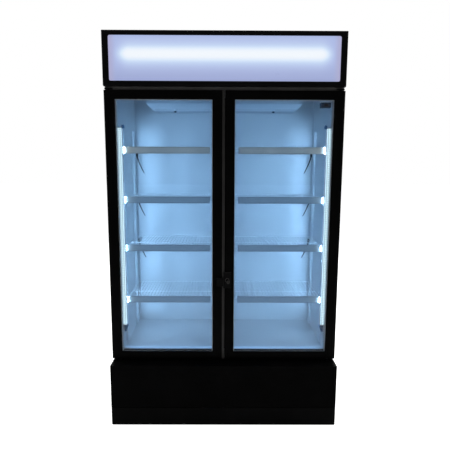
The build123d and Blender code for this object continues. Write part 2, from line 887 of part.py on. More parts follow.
tube_len = cabinet_w - 2 * tube_end_gap
tube_y = canopy_y + tube_back
tube_z = canopy_top - tube_drop
holder_back_y = canopy_back_y - canopy_sheet_t
with BuildPart() as canopy_tube:
    flat_rod_x(tube_y, tube_z, -tube_len / 2, tube_len / 2, tube_d, tube_sides)
finish(canopy_tube, "canopy_tube")

with BuildPart() as canopy_tube_holders:
    for side in (-1, 1):
        near, far = sorted((side * (tube_len / 2 + seam), side * (tube_len / 2 + 18)))
        slab(near, far, tube_y - 14, holder_back_y, tube_z - 16, tube_z + 16)
finish(canopy_tube_holders, "canopy_tube_holders")

# ------------------------------------------------------------------ base cover and plinth
with BuildPart() as base_cover:
    low_z = plinth_top + plinth_gap
    bar_x(
        [
            (base_y, low_z),
            (base_y, base_h - fold_break),
            (base_y + fold_break, base_h),
            (base_y + 14, base_h),
            (base_y + 14, base_h - base_sheet_t),
            (base_y + base_sheet_t, base_h - base_sheet_t),
            (base_y + base_sheet_t, low_z),
        ],
        -half_w,
        half_w,
    )
    slab(-half_w, half_w, base_y + 14 + seam, front_y - seam, base_h - base_sheet_t, base_h)
    for side in (-1, 1):
        near, far = sorted((side * half_w, side * (half_w - base_sheet_t)))
        slab(
            near,
            far,
            base_y + base_sheet_t + seam,
            front_y - seam,
            skirt_gap,
            base_h - base_sheet_t - seam,
        )
finish(base_cover, "base_cover")

plinth_x = half_w - base_sheet_t - seam
with BuildPart() as plinth_panel:
    plinth_y = base_y + plinth_setback
    bar_x(
        [
            (plinth_y, plinth_bottom),
            (plinth_y, plinth_top),
            (plinth_y + 14, plinth_top),
            (plinth_y + 14, plinth_top - base_sheet_t),
            (plinth_y + base_sheet_t, plinth_top - base_sheet_t),
            (plinth_y + base_sheet_t, plinth_bottom),
        ],
        -plinth_x,
        plinth_x,
    )
finish(plinth_panel, "plinth_panel")

with BuildPart() as base_tray:
    slab(-skin_x, skin_x, front_y + seam, rear_y - skin_t - seam, tray_z, tray_z + tray_t)
    slab(
        -plinth_x,
        plinth_x,
        base_y + plinth_setback + base_sheet_t + seam,
        front_y,
        tray_z,
        tray_z + tray_t,
    )
finish(base_tray, "base_tray")

with BuildPart() as levelling_feet:
    for x in (-half_w + foot_inset, half_w - foot_inset):
        for y in (base_y + foot_inset, rear_y - foot_inset):
            poly_z(x, y, 0, foot_pad_h, foot_d, 6)
            poly_z(x, y, foot_pad_h, tray_z, foot_stem_d, 8)
finish(levelling_feet, "levelling_feet")

inlet_z = tray_z + tray_t + inlet_lift
with BuildPart() as rear_grille:
    slab(-inner_x, inner_x, inner_rear_y, rear_y, skirt_gap, base_h - seam)
    vent_z = (inlet_z + inlet_h + base_h) / 2
    vent_w = (2 * inner_x - (vent_columns + 1) * vent_bar) / vent_columns
    with BuildSketch(Plane.XZ.offset(-inner_rear_y)):
        with Locations((0, vent_z)):
            with GridLocations(vent_w + vent_bar, vent_pitch, vent_columns, vent_rows):
                Rectangle(vent_w, vent_h)
        with Locations((inlet_x, inlet_z + inlet_h / 2)):
            Rectangle(inlet_w + 2 * seam, inlet_h + 2 * seam)
    extrude(amount=-skin_t, mode=Mode.SUBTRACT)
finish(rear_grille, "rear_grille")

with BuildPart() as power_inlet:
    slab(inlet_x - inlet_w / 2, inlet_x + inlet_w / 2, rear_y - inlet_d, rear_y, inlet_z, inlet_z + inlet_h)
    slab(
        inlet_x - inlet_w / 2 + 5,
        inlet_x + inlet_w / 2 - 5,
        rear_y - inlet_d + 4,
        rear_y,
        inlet_z + 5,
        inlet_z + inlet_h - 5,
        mode=Mode.SUBTRACT,
    )
    for x, z in ((-7, -2), (7, -2), (0, 4)):
        pin_z = inlet_z + inlet_h / 2 + z
        slab(inlet_x + x - 1, inlet_x + x + 1, rear_y - inlet_d + 3, rear_y - 4, pin_z - 3, pin_z + 3)
finish(power_inlet, "power_inlet")

# ------------------------------------------------------------------ condensing unit
unit_z = tray_z + tray_t
compressor_y = rear_y - compressor_ahead
with BuildPart() as compressor:
    poly_z(compressor_x, compressor_y, unit_z + 12, unit_z + compressor_h, compressor_d, compressor_sides)
    shell_ends = compressor.faces().sort_by(Axis.Z)
    chamfer(shell_ends[-1].edges(), compressor_dome_h, compressor_dome_in)
    chamfer(shell_ends[0].edges(), compressor_foot_break)
    # feet plate and terminal box
    slab(
        compressor_x - compressor_d * 0.6,
        compressor_x + compressor_d * 0.6,
        compressor_y - compressor_d * 0.45,
        compressor_y + compressor_d * 0.45,
        unit_z,
        unit_z + 14,
    )
    slab(
        compressor_x - 30,
        compressor_x + 30,
        compressor_y + compressor_d / 2 - 12,
        compressor_y + compressor_d / 2 + 34,
        unit_z + 60,
        unit_z + 130,
    )
finish(compressor, "compressor")

condenser_z = unit_z + seat
condenser_y = base_y + condenser_setback
condenser_front = condenser_y - condenser_d / 2
condenser_back = condenser_y + condenser_d / 2
with BuildPart() as condenser:
    finned_block(
        condenser_x - condenser_w / 2,
        condenser_x + condenser_w / 2,
        condenser_front,
        condenser_back,
        condenser_z,
        condenser_z + condenser_h,
        fin_gaps,
        condenser_w / (fin_gaps + 1) - fin_t,
        fin_t,
    )
finish(condenser, "condenser")

fan_z = condenser_z + condenser_h / 2
ring_d = condenser_fan_d + 2 * fan_opening_gap
shroud_back = condenser_back + seam + shroud_t
with BuildPart() as condenser_shroud:
    slab(
        condenser_x - condenser_w / 2,
        condenser_x + condenser_w / 2,
        condenser_back + seam,
        shroud_back,
        unit_z,
        condenser_z + condenser_h,
    )
    with BuildSketch(Plane.XZ.offset(-shroud_back)):
        with Locations((condenser_x, fan_z)):
            RegularPolygon(ring_d / 2 + shroud_t, ring_sides, major_radius=False)
    extrude(amount=-shroud_ring)
    with BuildSketch(Plane.XZ.offset(-condenser_back)):
        with Locations((condenser_x, fan_z)):
            RegularPolygon(ring_d / 2, ring_sides, major_radius=False)
    extrude(amount=condenser_back - shroud_back - shroud_ring, mode=Mode.SUBTRACT)
finish(condenser_shroud, "condenser_shroud")

rotor_y = shroud_back + shroud_ring - 4
motor_front = rotor_y + 24
with BuildPart() as condenser_fan_motor:
    slab(
        condenser_x - motor_d / 2,
        condenser_x + motor_d / 2,
        motor_front,
        motor_front + motor_len,
        fan_z - motor_d / 2,
        fan_z + motor_d / 2,
    )
    rod_y(condenser_x, fan_z, motor_front - shaft_len, motor_front, shaft_d)
    slab(condenser_x - 25, condenser_x + 25, motor_front + motor_len, motor_front + motor_len + 3, unit_z, fan_z + 30)
    slab(condenser_x - 25, condenser_x + 25, motor_front + 5, motor_front + motor_len, unit_z, unit_z + 3)
finish(condenser_fan_motor, "condenser_fan_motor")

condenser_fan = rotor(
    condenser_x,
    rotor_y,
    fan_z,
    condenser_fan_d / 2,
    24,
    28,
    shaft_d + 2 * pin_fit,
    5,
    56,
    2.5,
    32,
)
finish(condenser_fan, "condenser_fan")

# copper lines: compressor to condenser, and compressor up to the deck
with BuildPart() as refrigerant_lines:
    start_y = compressor_y - compressor_d / 2 - seat
    end_x = condenser_x + condenser_w / 2 + seat
    line_z = fan_z + 20
    with BuildLine() as discharge:
        FilletPolyline(
            (compressor_x, start_y, line_z),
            (compressor_x, condenser_y, line_z),
            (end_x, condenser_y, line_z),
            radius=line_bend,
        )
    with BuildSketch(Plane(origin=discharge.line @ 0, z_dir=discharge.line % 0)):
        RegularPolygon(line_d / 2, 6)
    sweep(path=discharge.line)
    poly_z(compressor_x, compressor_y, unit_z + compressor_h + seat, base_h - seat, line_d, 6)
finish(refrigerant_lines, "refrigerant_lines")

# ------------------------------------------------------------------ hinges
top_plate_z = door_top + seat + bracket_t
with BuildPart() as hinge_brackets:
    for side in (-1, 1):
        near, far = sorted((side * (half_w - 3), side * (half_w - 40)))
        x = side * hinge_x
        # lower bracket: plate on the base, collar under the door, pin
        slab(near, far, hinge_y - 14, front_y - seam, base_h + seam, base_h + bracket_t)
        poly_z(x, hinge_y, base_h + bracket_t, door_z - seat, collar_d, 6)
        rod_z(x, hinge_y, door_z - seat, door_z - seat + pin_len, pin_d)
        # upper bracket: plate above the door and pin hanging from it
        slab(near, far, hinge_y - 14, front_y - seam, door_top + seat + 4, top_plate_z + 4)
        poly_z(x, hinge_y, door_top + seat, door_top + seat + 4, collar_d, 6)
        rod_z(x, hinge_y, door_top + seat - pin_len, door_top + seat, pin_d)
finish(hinge_brackets, "hinge_brackets")

# ------------------------------------------------------------------ right door
pocket_y = glass_y - glazing_fit
pocket_back_y = glass_y + unit_t + glazing_fit
door_back_y = door_y + door_t


def stile_profile(outer_x, inner_x):
    """Stile section in (x, y): outer edge, face edge breaks and glazing pocket."""
    way = 1 if inner_x > outer_x else -1
    return [
        (outer_x, door_back_y),
        (outer_x, door_y + edge_break),
        (outer_x + way * edge_break, door_y),
        (inner_x - way * 1.5, door_y),
        (inner_x, door_y + 1.5),
        (inner_x, pocket_y),
        (inner_x - way * pocket_d, pocket_y),
        (inner_x - way * pocket_d, pocket_back_y),
        (inner_x, pocket_back_y),
        (inner_x, door_back_y),
    ]


def rail_profile(outer_z, inner_z):
    """Rail section in (y, z), the same form as the stile."""
    way = 1 if inner_z > outer_z else -1
    return [
        (door_back_y, outer_z),
        (door_y + edge_break, outer_z),
        (door_y, outer_z + way * edge_break),
        (door_y, inner_z - way * 1.5),
        (door_y + 1.5, inner_z),
        (pocket_y, inner_z),
        (pocket_y, inner_z - way * pocket_d),
        (pocket_back_y, inner_z - way * pocket_d),
        (pocket_back_y, inner_z),
        (door_back_y, inner_z),
    ]


glass_x0 = door_in_x + stile_w
glass_x1 = half_w - stile_w
glass_z0 = door_z + bottom_rail_w
glass_z1 = door_top - top_rail_w

with BuildPart() as right_door_frame:
    bar_z(stile_profile(door_in_x, glass_x0), door_z, door_top)
    bar_z(stile_profile(half_w, glass_x1), door_z, door_top)
    bar_x(rail_profile(door_z, glass_z0), glass_x0 + seam, glass_x1 - seam)
    bar_x(rail_profile(door_top, glass_z1), glass_x0 + seam, glass_x1 - seam)
    # hinge bores
    bore = pin_d + 2 * pin_fit
    rod_z(hinge_x, hinge_y, door_z, door_z + pin_len + 2, bore, mode=Mode.SUBTRACT)
    rod_z(hinge_x, hinge_y, door_top - pin_len - 2, door_top, bore, mode=Mode.SUBTRACT)
finish(right_door_frame, "right_door_frame")
finish(mirrored(right_door_frame), "left_door_frame")

edge = pocket_d - pane_inset
with BuildPart() as right_door_glass:
    for y in (glass_y, glass_y + pane_t + pane_gap):
        slab(glass_x0 - edge, glass_x1 + edge, y, y + pane_t, glass_z0 - edge, glass_z1 + edge)
finish(right_door_glass, "right_door_glass")
finish(mirrored(right_door_glass), "left_door_glass")

spacer_y0 = glass_y + pane_t + seam / 2
spacer_y1 = glass_y + pane_t + pane_gap - seam / 2
with BuildPart() as right_door_spacer:
    for x in (glass_x0 - edge, glass_x1 + edge - spacer_w):
        slab(x, x + spacer_w, spacer_y0, spacer_y1, glass_z0 - edge, glass_z1 + edge)
    for z in (glass_z0 - edge, glass_z1 + edge - spacer_w):
        slab(
            glass_x0 - edge + spacer_w + seam,
            glass_x1 + edge - spacer_w - seam,
            spacer_y0,
            spacer_y1,
            z,
            z + spacer_w,
        )
finish(right_door_spacer, "right_door_spacer")
finish(mirrored(right_door_spacer), "left_door_spacer")

# magnetic gasket: four chamfered strips on the back of the frame
seal_x0 = door_in_x + gasket_inset
seal_x1 = half_w - gasket_inset
seal_z0 = door_z + gasket_inset
seal_z1 = door_top - gasket_inset
seal_back_y = front_y - seat
with BuildPart() as right_door_gasket:
    for x0, x1 in ((seal_x0, seal_x0 + gasket_w), (seal_x1 - gasket_w, seal_x1)):
        bar_z(
            [
                (x0 + 2, door_back_y),
                (x1 - 2, door_back_y),
                (x1, door_back_y + 2),
                (x1, seal_back_y),
                (x0, seal_back_y),
                (x0, door_back_y + 2),
            ],
            seal_z0,
            seal_z1,
        )
    for z0, z1 in ((seal_z0, seal_z0 + gasket_w), (seal_z1 - gasket_w, seal_z1)):
        bar_x(
            [
                (door_back_y, z0 + 2),
                (door_back_y, z1 - 2),
                (door_back_y + 2, z1),
                (seal_back_y, z1),
                (seal_back_y, z0),
                (door_back_y + 2, z0),
            ],
            seal_x0 + gasket_w + seam,
            seal_x1 - gasket_w - seam,
        )
finish(right_door_gasket, "right_door_gasket")
finish(mirrored(right_door_gasket), "left_door_gasket")

# ------------------------------------------------------------------ lock
lock_x = lock_back_from_gap
housing_x0 = lock_x + 15 - housing_w
housing_y = door_y - housing_t
cam_y0 = housing_y + housing_skin + cam_fit
cam_y1 = cam_y0 + cam_t
housing_z0 = lock_z - housing_h / 2 + 10
housing_z1 = lock_z + housing_h / 2 + 10
cylinder_fit_d = cylinder_d + 2 * pin_fit
with BuildPart() as lock_housing:
    bar_x(
        [
            (door_y, housing_z0),
            (housing_y + 3, housing_z0),
            (housing_y, housing_z0 + 3),
            (housing_y, housing_z1 - 3),
            (housing_y + 3, housing_z1),
            (door_y, housing_z1),
        ],
        housing_x0,
        housing_x0 + housing_w,
    )
    # swing room of the cam, open towards the other door
    slab(
        housing_x0,
        lock_x + cylinder_d / 2 + 1,
        housing_y + housing_skin,
        cam_y1 + cam_fit,
        lock_z - cylinder_d / 2 - 1,
        lock_z + cam_len + 2,
        mode=Mode.SUBTRACT,
    )
    rod_y(lock_x, lock_z, housing_y, cam_y0, cylinder_fit_d, mode=Mode.SUBTRACT)
finish(lock_housing, "lock_housing")

with BuildPart() as lock_cylinder:
    rod_y(lock_x, lock_z, housing_y - cylinder_proud, cam_y1, cylinder_d)
    slab(lock_x - cam_w / 2, lock_x + cam_w / 2, cam_y0, cam_y1, lock_z, lock_z + cam_len)
    # keyway
    slab(
        lock_x - 1,
        lock_x + 1,
        housing_y - cylinder_proud,
        housing_y - cylinder_proud + 2,
        lock_z - 4,
        lock_z + 4,
        mode=Mode.SUBTRACT,
    )
finish(lock_cylinder, "lock_cylinder")

with BuildPart() as lock_keeper:
    slab(-door_in_x - 1 - keeper_w, -door_in_x - 1, housing_y, door_y, lock_z - keeper_h / 2, lock_z + keeper_h / 2)
    slab(
        -door_in_x - 1 - keeper_w + 4,
        -door_in_x - 1,
        cam_y0 - cam_fit,
        cam_y1 + cam_fit,
        lock_z - cam_w / 2 - 1,
        lock_z + keeper_h / 2,
        mode=Mode.SUBTRACT,
    )
finish(lock_keeper, "lock_keeper")
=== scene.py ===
"""Looks of a two-door glass door merchandiser, built around its packed construction model."""

from __future__ import annotations

import json
import logging
import math
from dataclasses import dataclass
from enum import Enum
from typing import Any, Iterable

import bmesh
import bpy
from mathutils import Matrix, Vector

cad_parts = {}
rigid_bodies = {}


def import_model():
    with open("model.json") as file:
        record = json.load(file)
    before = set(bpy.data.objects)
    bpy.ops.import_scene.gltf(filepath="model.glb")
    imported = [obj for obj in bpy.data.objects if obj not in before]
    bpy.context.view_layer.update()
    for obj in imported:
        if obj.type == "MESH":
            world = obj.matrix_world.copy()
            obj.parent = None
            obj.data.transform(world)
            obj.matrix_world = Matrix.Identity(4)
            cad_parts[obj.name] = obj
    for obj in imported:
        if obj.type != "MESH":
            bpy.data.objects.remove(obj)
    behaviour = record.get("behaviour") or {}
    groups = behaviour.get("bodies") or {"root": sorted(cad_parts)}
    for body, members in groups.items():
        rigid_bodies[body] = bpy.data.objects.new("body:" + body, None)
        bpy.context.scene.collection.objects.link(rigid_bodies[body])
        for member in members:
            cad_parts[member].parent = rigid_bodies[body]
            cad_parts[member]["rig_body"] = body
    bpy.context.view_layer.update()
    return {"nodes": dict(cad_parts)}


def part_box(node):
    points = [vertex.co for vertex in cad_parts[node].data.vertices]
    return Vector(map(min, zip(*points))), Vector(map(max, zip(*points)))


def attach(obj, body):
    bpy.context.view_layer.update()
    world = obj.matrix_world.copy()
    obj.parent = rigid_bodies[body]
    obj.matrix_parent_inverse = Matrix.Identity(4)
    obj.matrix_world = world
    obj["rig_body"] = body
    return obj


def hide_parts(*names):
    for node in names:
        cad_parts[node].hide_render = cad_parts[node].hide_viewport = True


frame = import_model()

MM = 0.001

log = logging.getLogger("merchandiser")
Colour = tuple[float, float, float]
Point = tuple[float, float, float]
Outline = list[tuple[float, float]]


def at(origin: tuple[float, float], *steps: tuple[float, float]) -> Outline:
    """Places reached by steps in millimetres from one origin in metres."""
    return [(origin[0] + u * MM, origin[1] + v * MM) for u, v in steps]


def shade(colour: Colour, factor: float, lift: float = 0.0) -> Colour:
    """A lighter or darker tone of a colour."""
    return tuple(min(1.0, c * factor + lift) for c in colour)


# --------------------------------------------------------------------------- node trees
class Signal:
    """A value in a node tree that can be used in arithmetic."""

    def __init__(self, owner: "Tree", socket: bpy.types.NodeSocket) -> None:
        """Wraps an output socket.

        Args:
            owner: tree that the socket belongs to.
            socket: output that carries the value.
        """
        self.owner = owner
        self.socket = socket

    def _math(self, operation: str, *terms: "Signal | float") -> "Signal":
        """Adds one Math node.

        Args:
            operation: Blender's name for the operation.
            terms: operands in order.

        Returns:
            The node's result.
        """
        return self.owner.node("ShaderNodeMath", {"operation": operation}, dict(enumerate(terms)))

    def __add__(self, other: "Signal | float") -> "Signal":
        """Sum."""
        return self._math("ADD", self, other)

    def __sub__(self, other: "Signal | float") -> "Signal":
        """Difference."""
        return self._math("SUBTRACT", self, other)

    def __mul__(self, other: "Signal | float") -> "Signal":
        """Product."""
        return self._math("MULTIPLY", self, other)

    def __truediv__(self, other: "Signal | float") -> "Signal":
        """Quotient."""
        return self._math("DIVIDE", self, other)

    def __rtruediv__(self, other: float) -> "Signal":
        """Quotient, number first."""
        return self._math("DIVIDE", other, self)

    def __pow__(self, other: "Signal | float") -> "Signal":
        """Power."""
        return self._math("POWER", self, other)

    def magnitude(self) -> "Signal":
        """Absolute value."""
        return self._math("ABSOLUTE", self)

    def wave(self) -> "Signal":
        """Sine of the value in radians."""
        return self._math("SINE", self)

    def ramp(self, low: float, high: float, out_low: float = 0.0, out_high: float = 1.0) -> "Signal":
        """Smooth step from one level to another.

        Args:
            low: value where the step starts.
            high: value where it ends.
            out_low: result at the start.
            out_high: result at the end.

        Returns:
            The stepped value.
        """
        inputs = {0: self, 1: low, 2: high, 3: out_low, 4: out_high}
        return self.owner.node("ShaderNodeMapRange", {"interpolation_type": "SMOOTHSTEP"}, inputs)


class Tree:
    """A node tree with one call for every kind of node."""

    tree: bpy.types.NodeTree

    def node(
        self,
        kind: str,
        settings: dict[str, Any] | None = None,
        inputs: dict[int | str, Any] | None = None,
        output: int | str = 0,
    ) -> Signal | None:
        """Adds a node.

        Args:
            kind: Blender's node type.
            settings: properties, set before the sockets.
            inputs: socket index or name to a value or a Signal.
            output: index or name of the socket to return.

        Returns:
            The chosen output, or None if the node has none.
        """
        made = self.tree.nodes.new(kind)
        for key, value in (settings or {}).items():
            setattr(made, key, value)
        for key, value in (inputs or {}).items():
            if isinstance(value, Signal):
                self.tree.links.new(value.socket, made.inputs[key])
            else:
                made.inputs[key].default_value = value
        return Signal(self, made.outputs[output]) if made.outputs else None


class Graph(Tree):
    """A material's node tree."""

    def __init__(self, name: str) -> None:
        """Starts an empty material.

        Args:
            name: the material's name.
        """
        self.material = bpy.data.materials.new(name)
        self.material.use_nodes = True
        self.tree = self.material.node_tree
        self.tree.nodes.clear()

    def place(self) -> Signal:
        """Object coordinates in metres."""
        return self.node("ShaderNodeTexCoord", output="Object")

    def axes(self) -> tuple[Signal, Signal, Signal]:
        """Object coordinates as three numbers."""
        place = self.place()
        return tuple(self.node("ShaderNodeSeparateXYZ", inputs={0: place}, output=axis) for axis in "XYZ")

    def noise(self, scale: float, detail: float = 2.0, stretch: Point | None = None) -> Signal:
        """Smooth random pattern from 0 to 1.

        Args:
            scale: features per metre.
            detail: octaves of finer pattern.
            stretch: scale along each axis, for drawn or brushed surfaces.

        Returns:
            The pattern.
        """
        where = self.place()
        if stretch:
            where = self.node("ShaderNodeMapping", inputs={"Vector": where, "Scale": stretch})
        return self.node("ShaderNodeTexNoise", inputs={"Vector": where, "Scale": scale, "Detail": detail})

    def blend(self, amount: Signal | float, first: Colour | Signal, second: Colour | Signal) -> Signal:
        """Mixes two colours.

        Args:
            amount: 0 gives the first colour, 1 the second.
            first: colour at 0.
            second: colour at 1.

        Returns:
            The mixed colour.
        """
        one, two = (c if isinstance(c, Signal) else (*c, 1.0) for c in (first, second))
        settings = {"data_type": "RGBA", "clamp_factor": True}
        return self.node("ShaderNodeMix", settings, {0: amount, 6: one, 7: two}, output=2)

    def bump(self, height: Signal, strength: float, depth: float) -> Signal:
        """Turns a height pattern into a normal.

        Args:
            height: pattern from 0 to 1.
            strength: share of the effect.
            depth: height in metres of a full step.

        Returns:
            The normal.
        """
        inputs = {"Strength": strength, "Distance": depth, "Height": height}
        return self.node("ShaderNodeBump", inputs=inputs, output="Normal")

    def surface(self, **sockets: Any) -> bpy.types.Material:
        """Ends the tree in a Principled shader.

        Args:
            sockets: the shader's inputs, spaces written as underscores.

        Returns:
            The finished material.
        """
        inputs = {}
        for key, value in sockets.items():
            plain_colour = isinstance(value, tuple) and len(value) == 3
            inputs[key.replace("_", " ")] = (*value, 1.0) if plain_colour else value
        return self.end(self.node("ShaderNodeBsdfPrincipled", inputs=inputs))

    def end(self, shader: Signal) -> bpy.types.Material:
        """Links a shader to the output and returns the material."""
        self.node("ShaderNodeOutputMaterial", inputs={"Surface": shader})
        return self.material


class Growth(Tree):
    """A geometry tree that repeats one piece, with named inputs for its sizes."""

    def __init__(self, name: str, inputs: dict[str, str]) -> None:
        """Starts a tree with its inputs.

        Args:
            name: the tree's name.
            inputs: label and socket kind of each input; Piece and Finish are added.
        """
        self.tree = bpy.data.node_groups.new(name, "GeometryNodeTree")
        face = self.tree.interface
        face.new_socket("Geometry", in_out="OUTPUT", socket_type="NodeSocketGeometry")
        kinds = {"Piece": "NodeSocketObject", "Finish": "NodeSocketMaterial", **inputs}
        self.keys = {
            label: face.new_socket(label, in_out="INPUT", socket_type=kind).identifier
            for label, kind in kinds.items()
        }
        self.entry = self.tree.nodes.new("NodeGroupInput")

    def given(self, label: str) -> Signal:
        """One of the tree's inputs."""
        return Signal(self, self.entry.outputs[label])

    def line(self, count: Signal, step: Signal, start: Signal | Point = (0.0, 0.0, 0.0)) -> Signal:
        """Points in a row."""
        inputs = {"Count": count, "Start Location": start, "Offset": step}
        return self.node("GeometryNodeMeshLine", {"mode": "OFFSET", "count_mode": "TOTAL"}, inputs)

    def copies(self, points: Signal, instance: Signal, turn: Signal | None = None) -> Signal:
        """One instance on every point, turned or not."""
        inputs = {"Points": points, "Instance": instance}
        if turn:
            inputs["Rotation"] = turn
        return self.node("GeometryNodeInstanceOnPoints", inputs=inputs)

    def piece(self) -> Signal:
        """The geometry of the piece that is repeated."""
        inputs = {"Object": self.given("Piece")}
        return self.node("GeometryNodeObjectInfo", inputs=inputs, output="Geometry")

    def close(self, instances: Signal) -> "Growth":
        """Realizes the instances, sets their material and ends the tree."""
        real = self.node("GeometryNodeRealizeInstances", inputs={0: instances})
        inputs = {"Geometry": real, "Material": self.given("Finish")}
        done = self.node("GeometryNodeSetMaterial", inputs=inputs)
        self.node("NodeGroupOutput", inputs={0: done})
        return self

    def grow(self, unit: "Form", finish: "Finish", **values: Any) -> bpy.types.Mesh:
        """Repeats a form and returns the result as one plain mesh.

        Args:
            unit: the form to repeat.
            finish: what it is made of.
            values: the tree's own inputs, spaces written as underscores.

        Returns:
            The mesh of all copies.
        """
        piece = unit.to_object("unit")
        holder = Form().to_object("holder")
        modifier = holder.modifiers.new("growth", "NODES")
        modifier.node_group = self.tree
        modifier[self.keys["Piece"]] = piece
        modifier[self.keys["Finish"]] = finish.material()
        for label, value in values.items():
            modifier[self.keys[label.replace("_", " ")]] = value
        depsgraph = bpy.context.evaluated_depsgraph_get()
        mesh = bpy.data.meshes.new_from_object(holder.evaluated_get(depsgraph), depsgraph=depsgraph)
        for spent in (holder, piece):
            bpy.data.objects.remove(spent)
        return mesh


def grid_growth() -> Growth:
    """Tree that repeats a piece in columns and rows."""
    kinds = {
        "Columns": "NodeSocketInt",
        "Column Step": "NodeSocketVector",
        "Rows": "NodeSocketInt",
        "Row Step": "NodeSocketVector",
    }
    tree = Growth("grid", kinds)
    columns = tree.line(tree.given("Columns"), tree.given("Column Step"))
    rows = tree.line(tree.given("Rows"), tree.given("Row Step"))
    cells = tree.node("GeometryNodeRealizeInstances", inputs={0: tree.copies(columns, rows)})
    return tree.close(tree.copies(cells, tree.piece()))


def circle_growth() -> Growth:
    """Tree that repeats a piece round an axis through a centre."""
    kinds = {"Count": "NodeSocketInt", "Centre": "NodeSocketVector", "Axis": "NodeSocketVector"}
    tree = Growth("circle", kinds)
    points = tree.line(tree.given("Count"), (0.0, 0.0, 0.0), tree.given("Centre"))
    angle = tree.node("GeometryNodeInputIndex") * math.tau / tree.given("Count")
    inputs = {"Axis": tree.given("Axis"), "Angle": angle}
    turn = tree.node("FunctionNodeAxisAngleToRotation", inputs=inputs)
    return tree.close(tree.copies(points, tree.piece(), turn))


# --------------------------------------------------------------------------- finishes
LIFT = 0.001  # keeps the lighter tone of a near-black coat apart from the coat


@dataclass(frozen=True)
class PowderCoat:
    """Baked paint on steel: fine orange peel and a little dust."""

    name: str
    slot: str
    colour: Colour
    roughness: float = 0.42
    peel: float = 0.00004
    specular: float = 0.18

    def build(self) -> bpy.types.Material:
        """Makes the material."""
        g = Graph(self.name)
        cloud = g.noise(6.0, 3.0)
        speck = g.noise(900.0, 1.0)
        lighter = shade(self.colour, 1.5, LIFT)
        return g.surface(
            Base_Color=g.blend(cloud.ramp(0.35, 0.75), self.colour, lighter),
            Roughness=cloud * 0.1 + speck * 0.05 + (self.roughness - 0.075),
            Specular_IOR_Level=self.specular,
            Normal=g.bump(g.noise(420.0, 1.0), 0.5, self.peel),
        )


@dataclass(frozen=True)
class WhiteSheet:
    """Coated liner sheet: white, smooth, softly reflective, with an optional brighter tone ahead of a depth
    that is painted light, leaving the sheet behind it in painted shade.
    """

    name: str
    slot: str
    colour: Colour
    roughness: float = 0.35
    # painted light: the brighter tone ahead of the split depth; the colour behind it reads as painted shade
    near: Colour | None = None
    painted_light_split: tuple[float, float] = (0.0, 1.0)

    def build(self) -> bpy.types.Material:
        """Makes the material."""
        g = Graph(self.name)
        cloud = g.noise(5.0, 2.0)
        duller = shade(self.colour, 0.95)
        tone = g.blend(cloud.ramp(0.3, 0.7), self.colour, duller)
        # painted light and shade: the near tone ahead of the split depth, the plain tone behind it
        if self.near:
            tone = g.blend(g.axes()[1].ramp(*self.painted_light_split), self.near, tone)
        return g.surface(
            Base_Color=tone,
            Roughness=cloud * 0.12 + (self.roughness - 0.06),
            Specular_IOR_Level=0.5,
            Normal=g.bump(g.noise(14.0, 2.0), 0.25, 0.0008),
        )


@dataclass(frozen=True)
class Drawn:
    """Extruded or drawn section: faint lines along one axis."""

    name: str
    slot: str
    colour: Colour
    roughness: float = 0.38
    stretch: Point = (600.0, 600.0, 600.0)
    specular: float = 0.18

    def build(self) -> bpy.types.Material:
        """Makes the material."""
        g = Graph(self.name)
        lines = g.noise(1.0, 2.0, self.stretch)
        lighter = shade(self.colour, 1.35, LIFT)
        return g.surface(
            Base_Color=g.blend(g.noise(9.0).ramp(0.3, 0.8), self.colour, lighter),
            Roughness=lines * 0.14 + (self.roughness - 0.07),
            Specular_IOR_Level=self.specular,
            Normal=g.bump(lines, 0.3, 0.00005),
        )


@dataclass(frozen=True)
class Moulded:
    """Moulded plastic: fine spark texture, with an optional second tone below a height that is painted
    bounce light.
    """

    name: str
    slot: str
    colour: Colour
    roughness: float = 0.45
    grain: float = 0.00005
    coat: float = 0.0
    specular: float = 0.4
    # painted light: a greyer, bluer tone below the split height that stands in for bounce light
    low: Colour | None = None
    painted_light_split: tuple[float, float] = (0.0, 1.0)

    def build(self) -> bpy.types.Material:
        """Makes the material."""
        g = Graph(self.name)
        cloud = g.noise(12.0, 2.0)
        lighter = shade(self.colour, 1.2, LIFT)
        tone = g.blend(cloud.ramp(0.3, 0.8), self.colour, lighter)
        # painted bounce light: the low tone below the split height
        if self.low:
            tone = g.blend(g.axes()[2].ramp(*self.painted_light_split), self.low, tone)
        return g.surface(
            Base_Color=tone,
            Roughness=cloud * 0.12 + (self.roughness - 0.06),
            Specular_IOR_Level=self.specular,
            Coat_Weight=self.coat,
            Coat_Roughness=0.12,
            Normal=g.bump(g.noise(1500.0, 1.0), 0.4, self.grain),
        )


@dataclass(frozen=True)
class BareMetal:
    """Unpainted metal, with an optional spangle or brushed lines."""

    name: str
    slot: str
    colour: Colour
    roughness: float = 0.32
    spangle: float = 0.0
    stretch: Point | None = None

    def build(self) -> bpy.types.Material:
        """Makes the material."""
        g = Graph(self.name)
        cloud = g.noise(30.0, 3.0)
        darker = shade(self.colour, 0.72)
        if self.spangle:
            inputs = {"Vector": g.place(), "Scale": self.spangle}
            cells = g.node("ShaderNodeTexVoronoi", inputs=inputs, output="Color")
            pattern = g.node("ShaderNodeSeparateXYZ", inputs={0: cells}, output="X")
        else:
            pattern = g.noise(1.0, 2.0, self.stretch) if self.stretch else g.noise(300.0)
        return g.surface(
            Base_Color=g.blend(pattern * 0.7 + cloud * 0.3, self.colour, darker),
            Metallic=1.0,
            Roughness=pattern * 0.16 + cloud * 0.1 + (self.roughness - 0.12),
            Normal=g.bump(pattern, 0.15, 0.00004),
        )


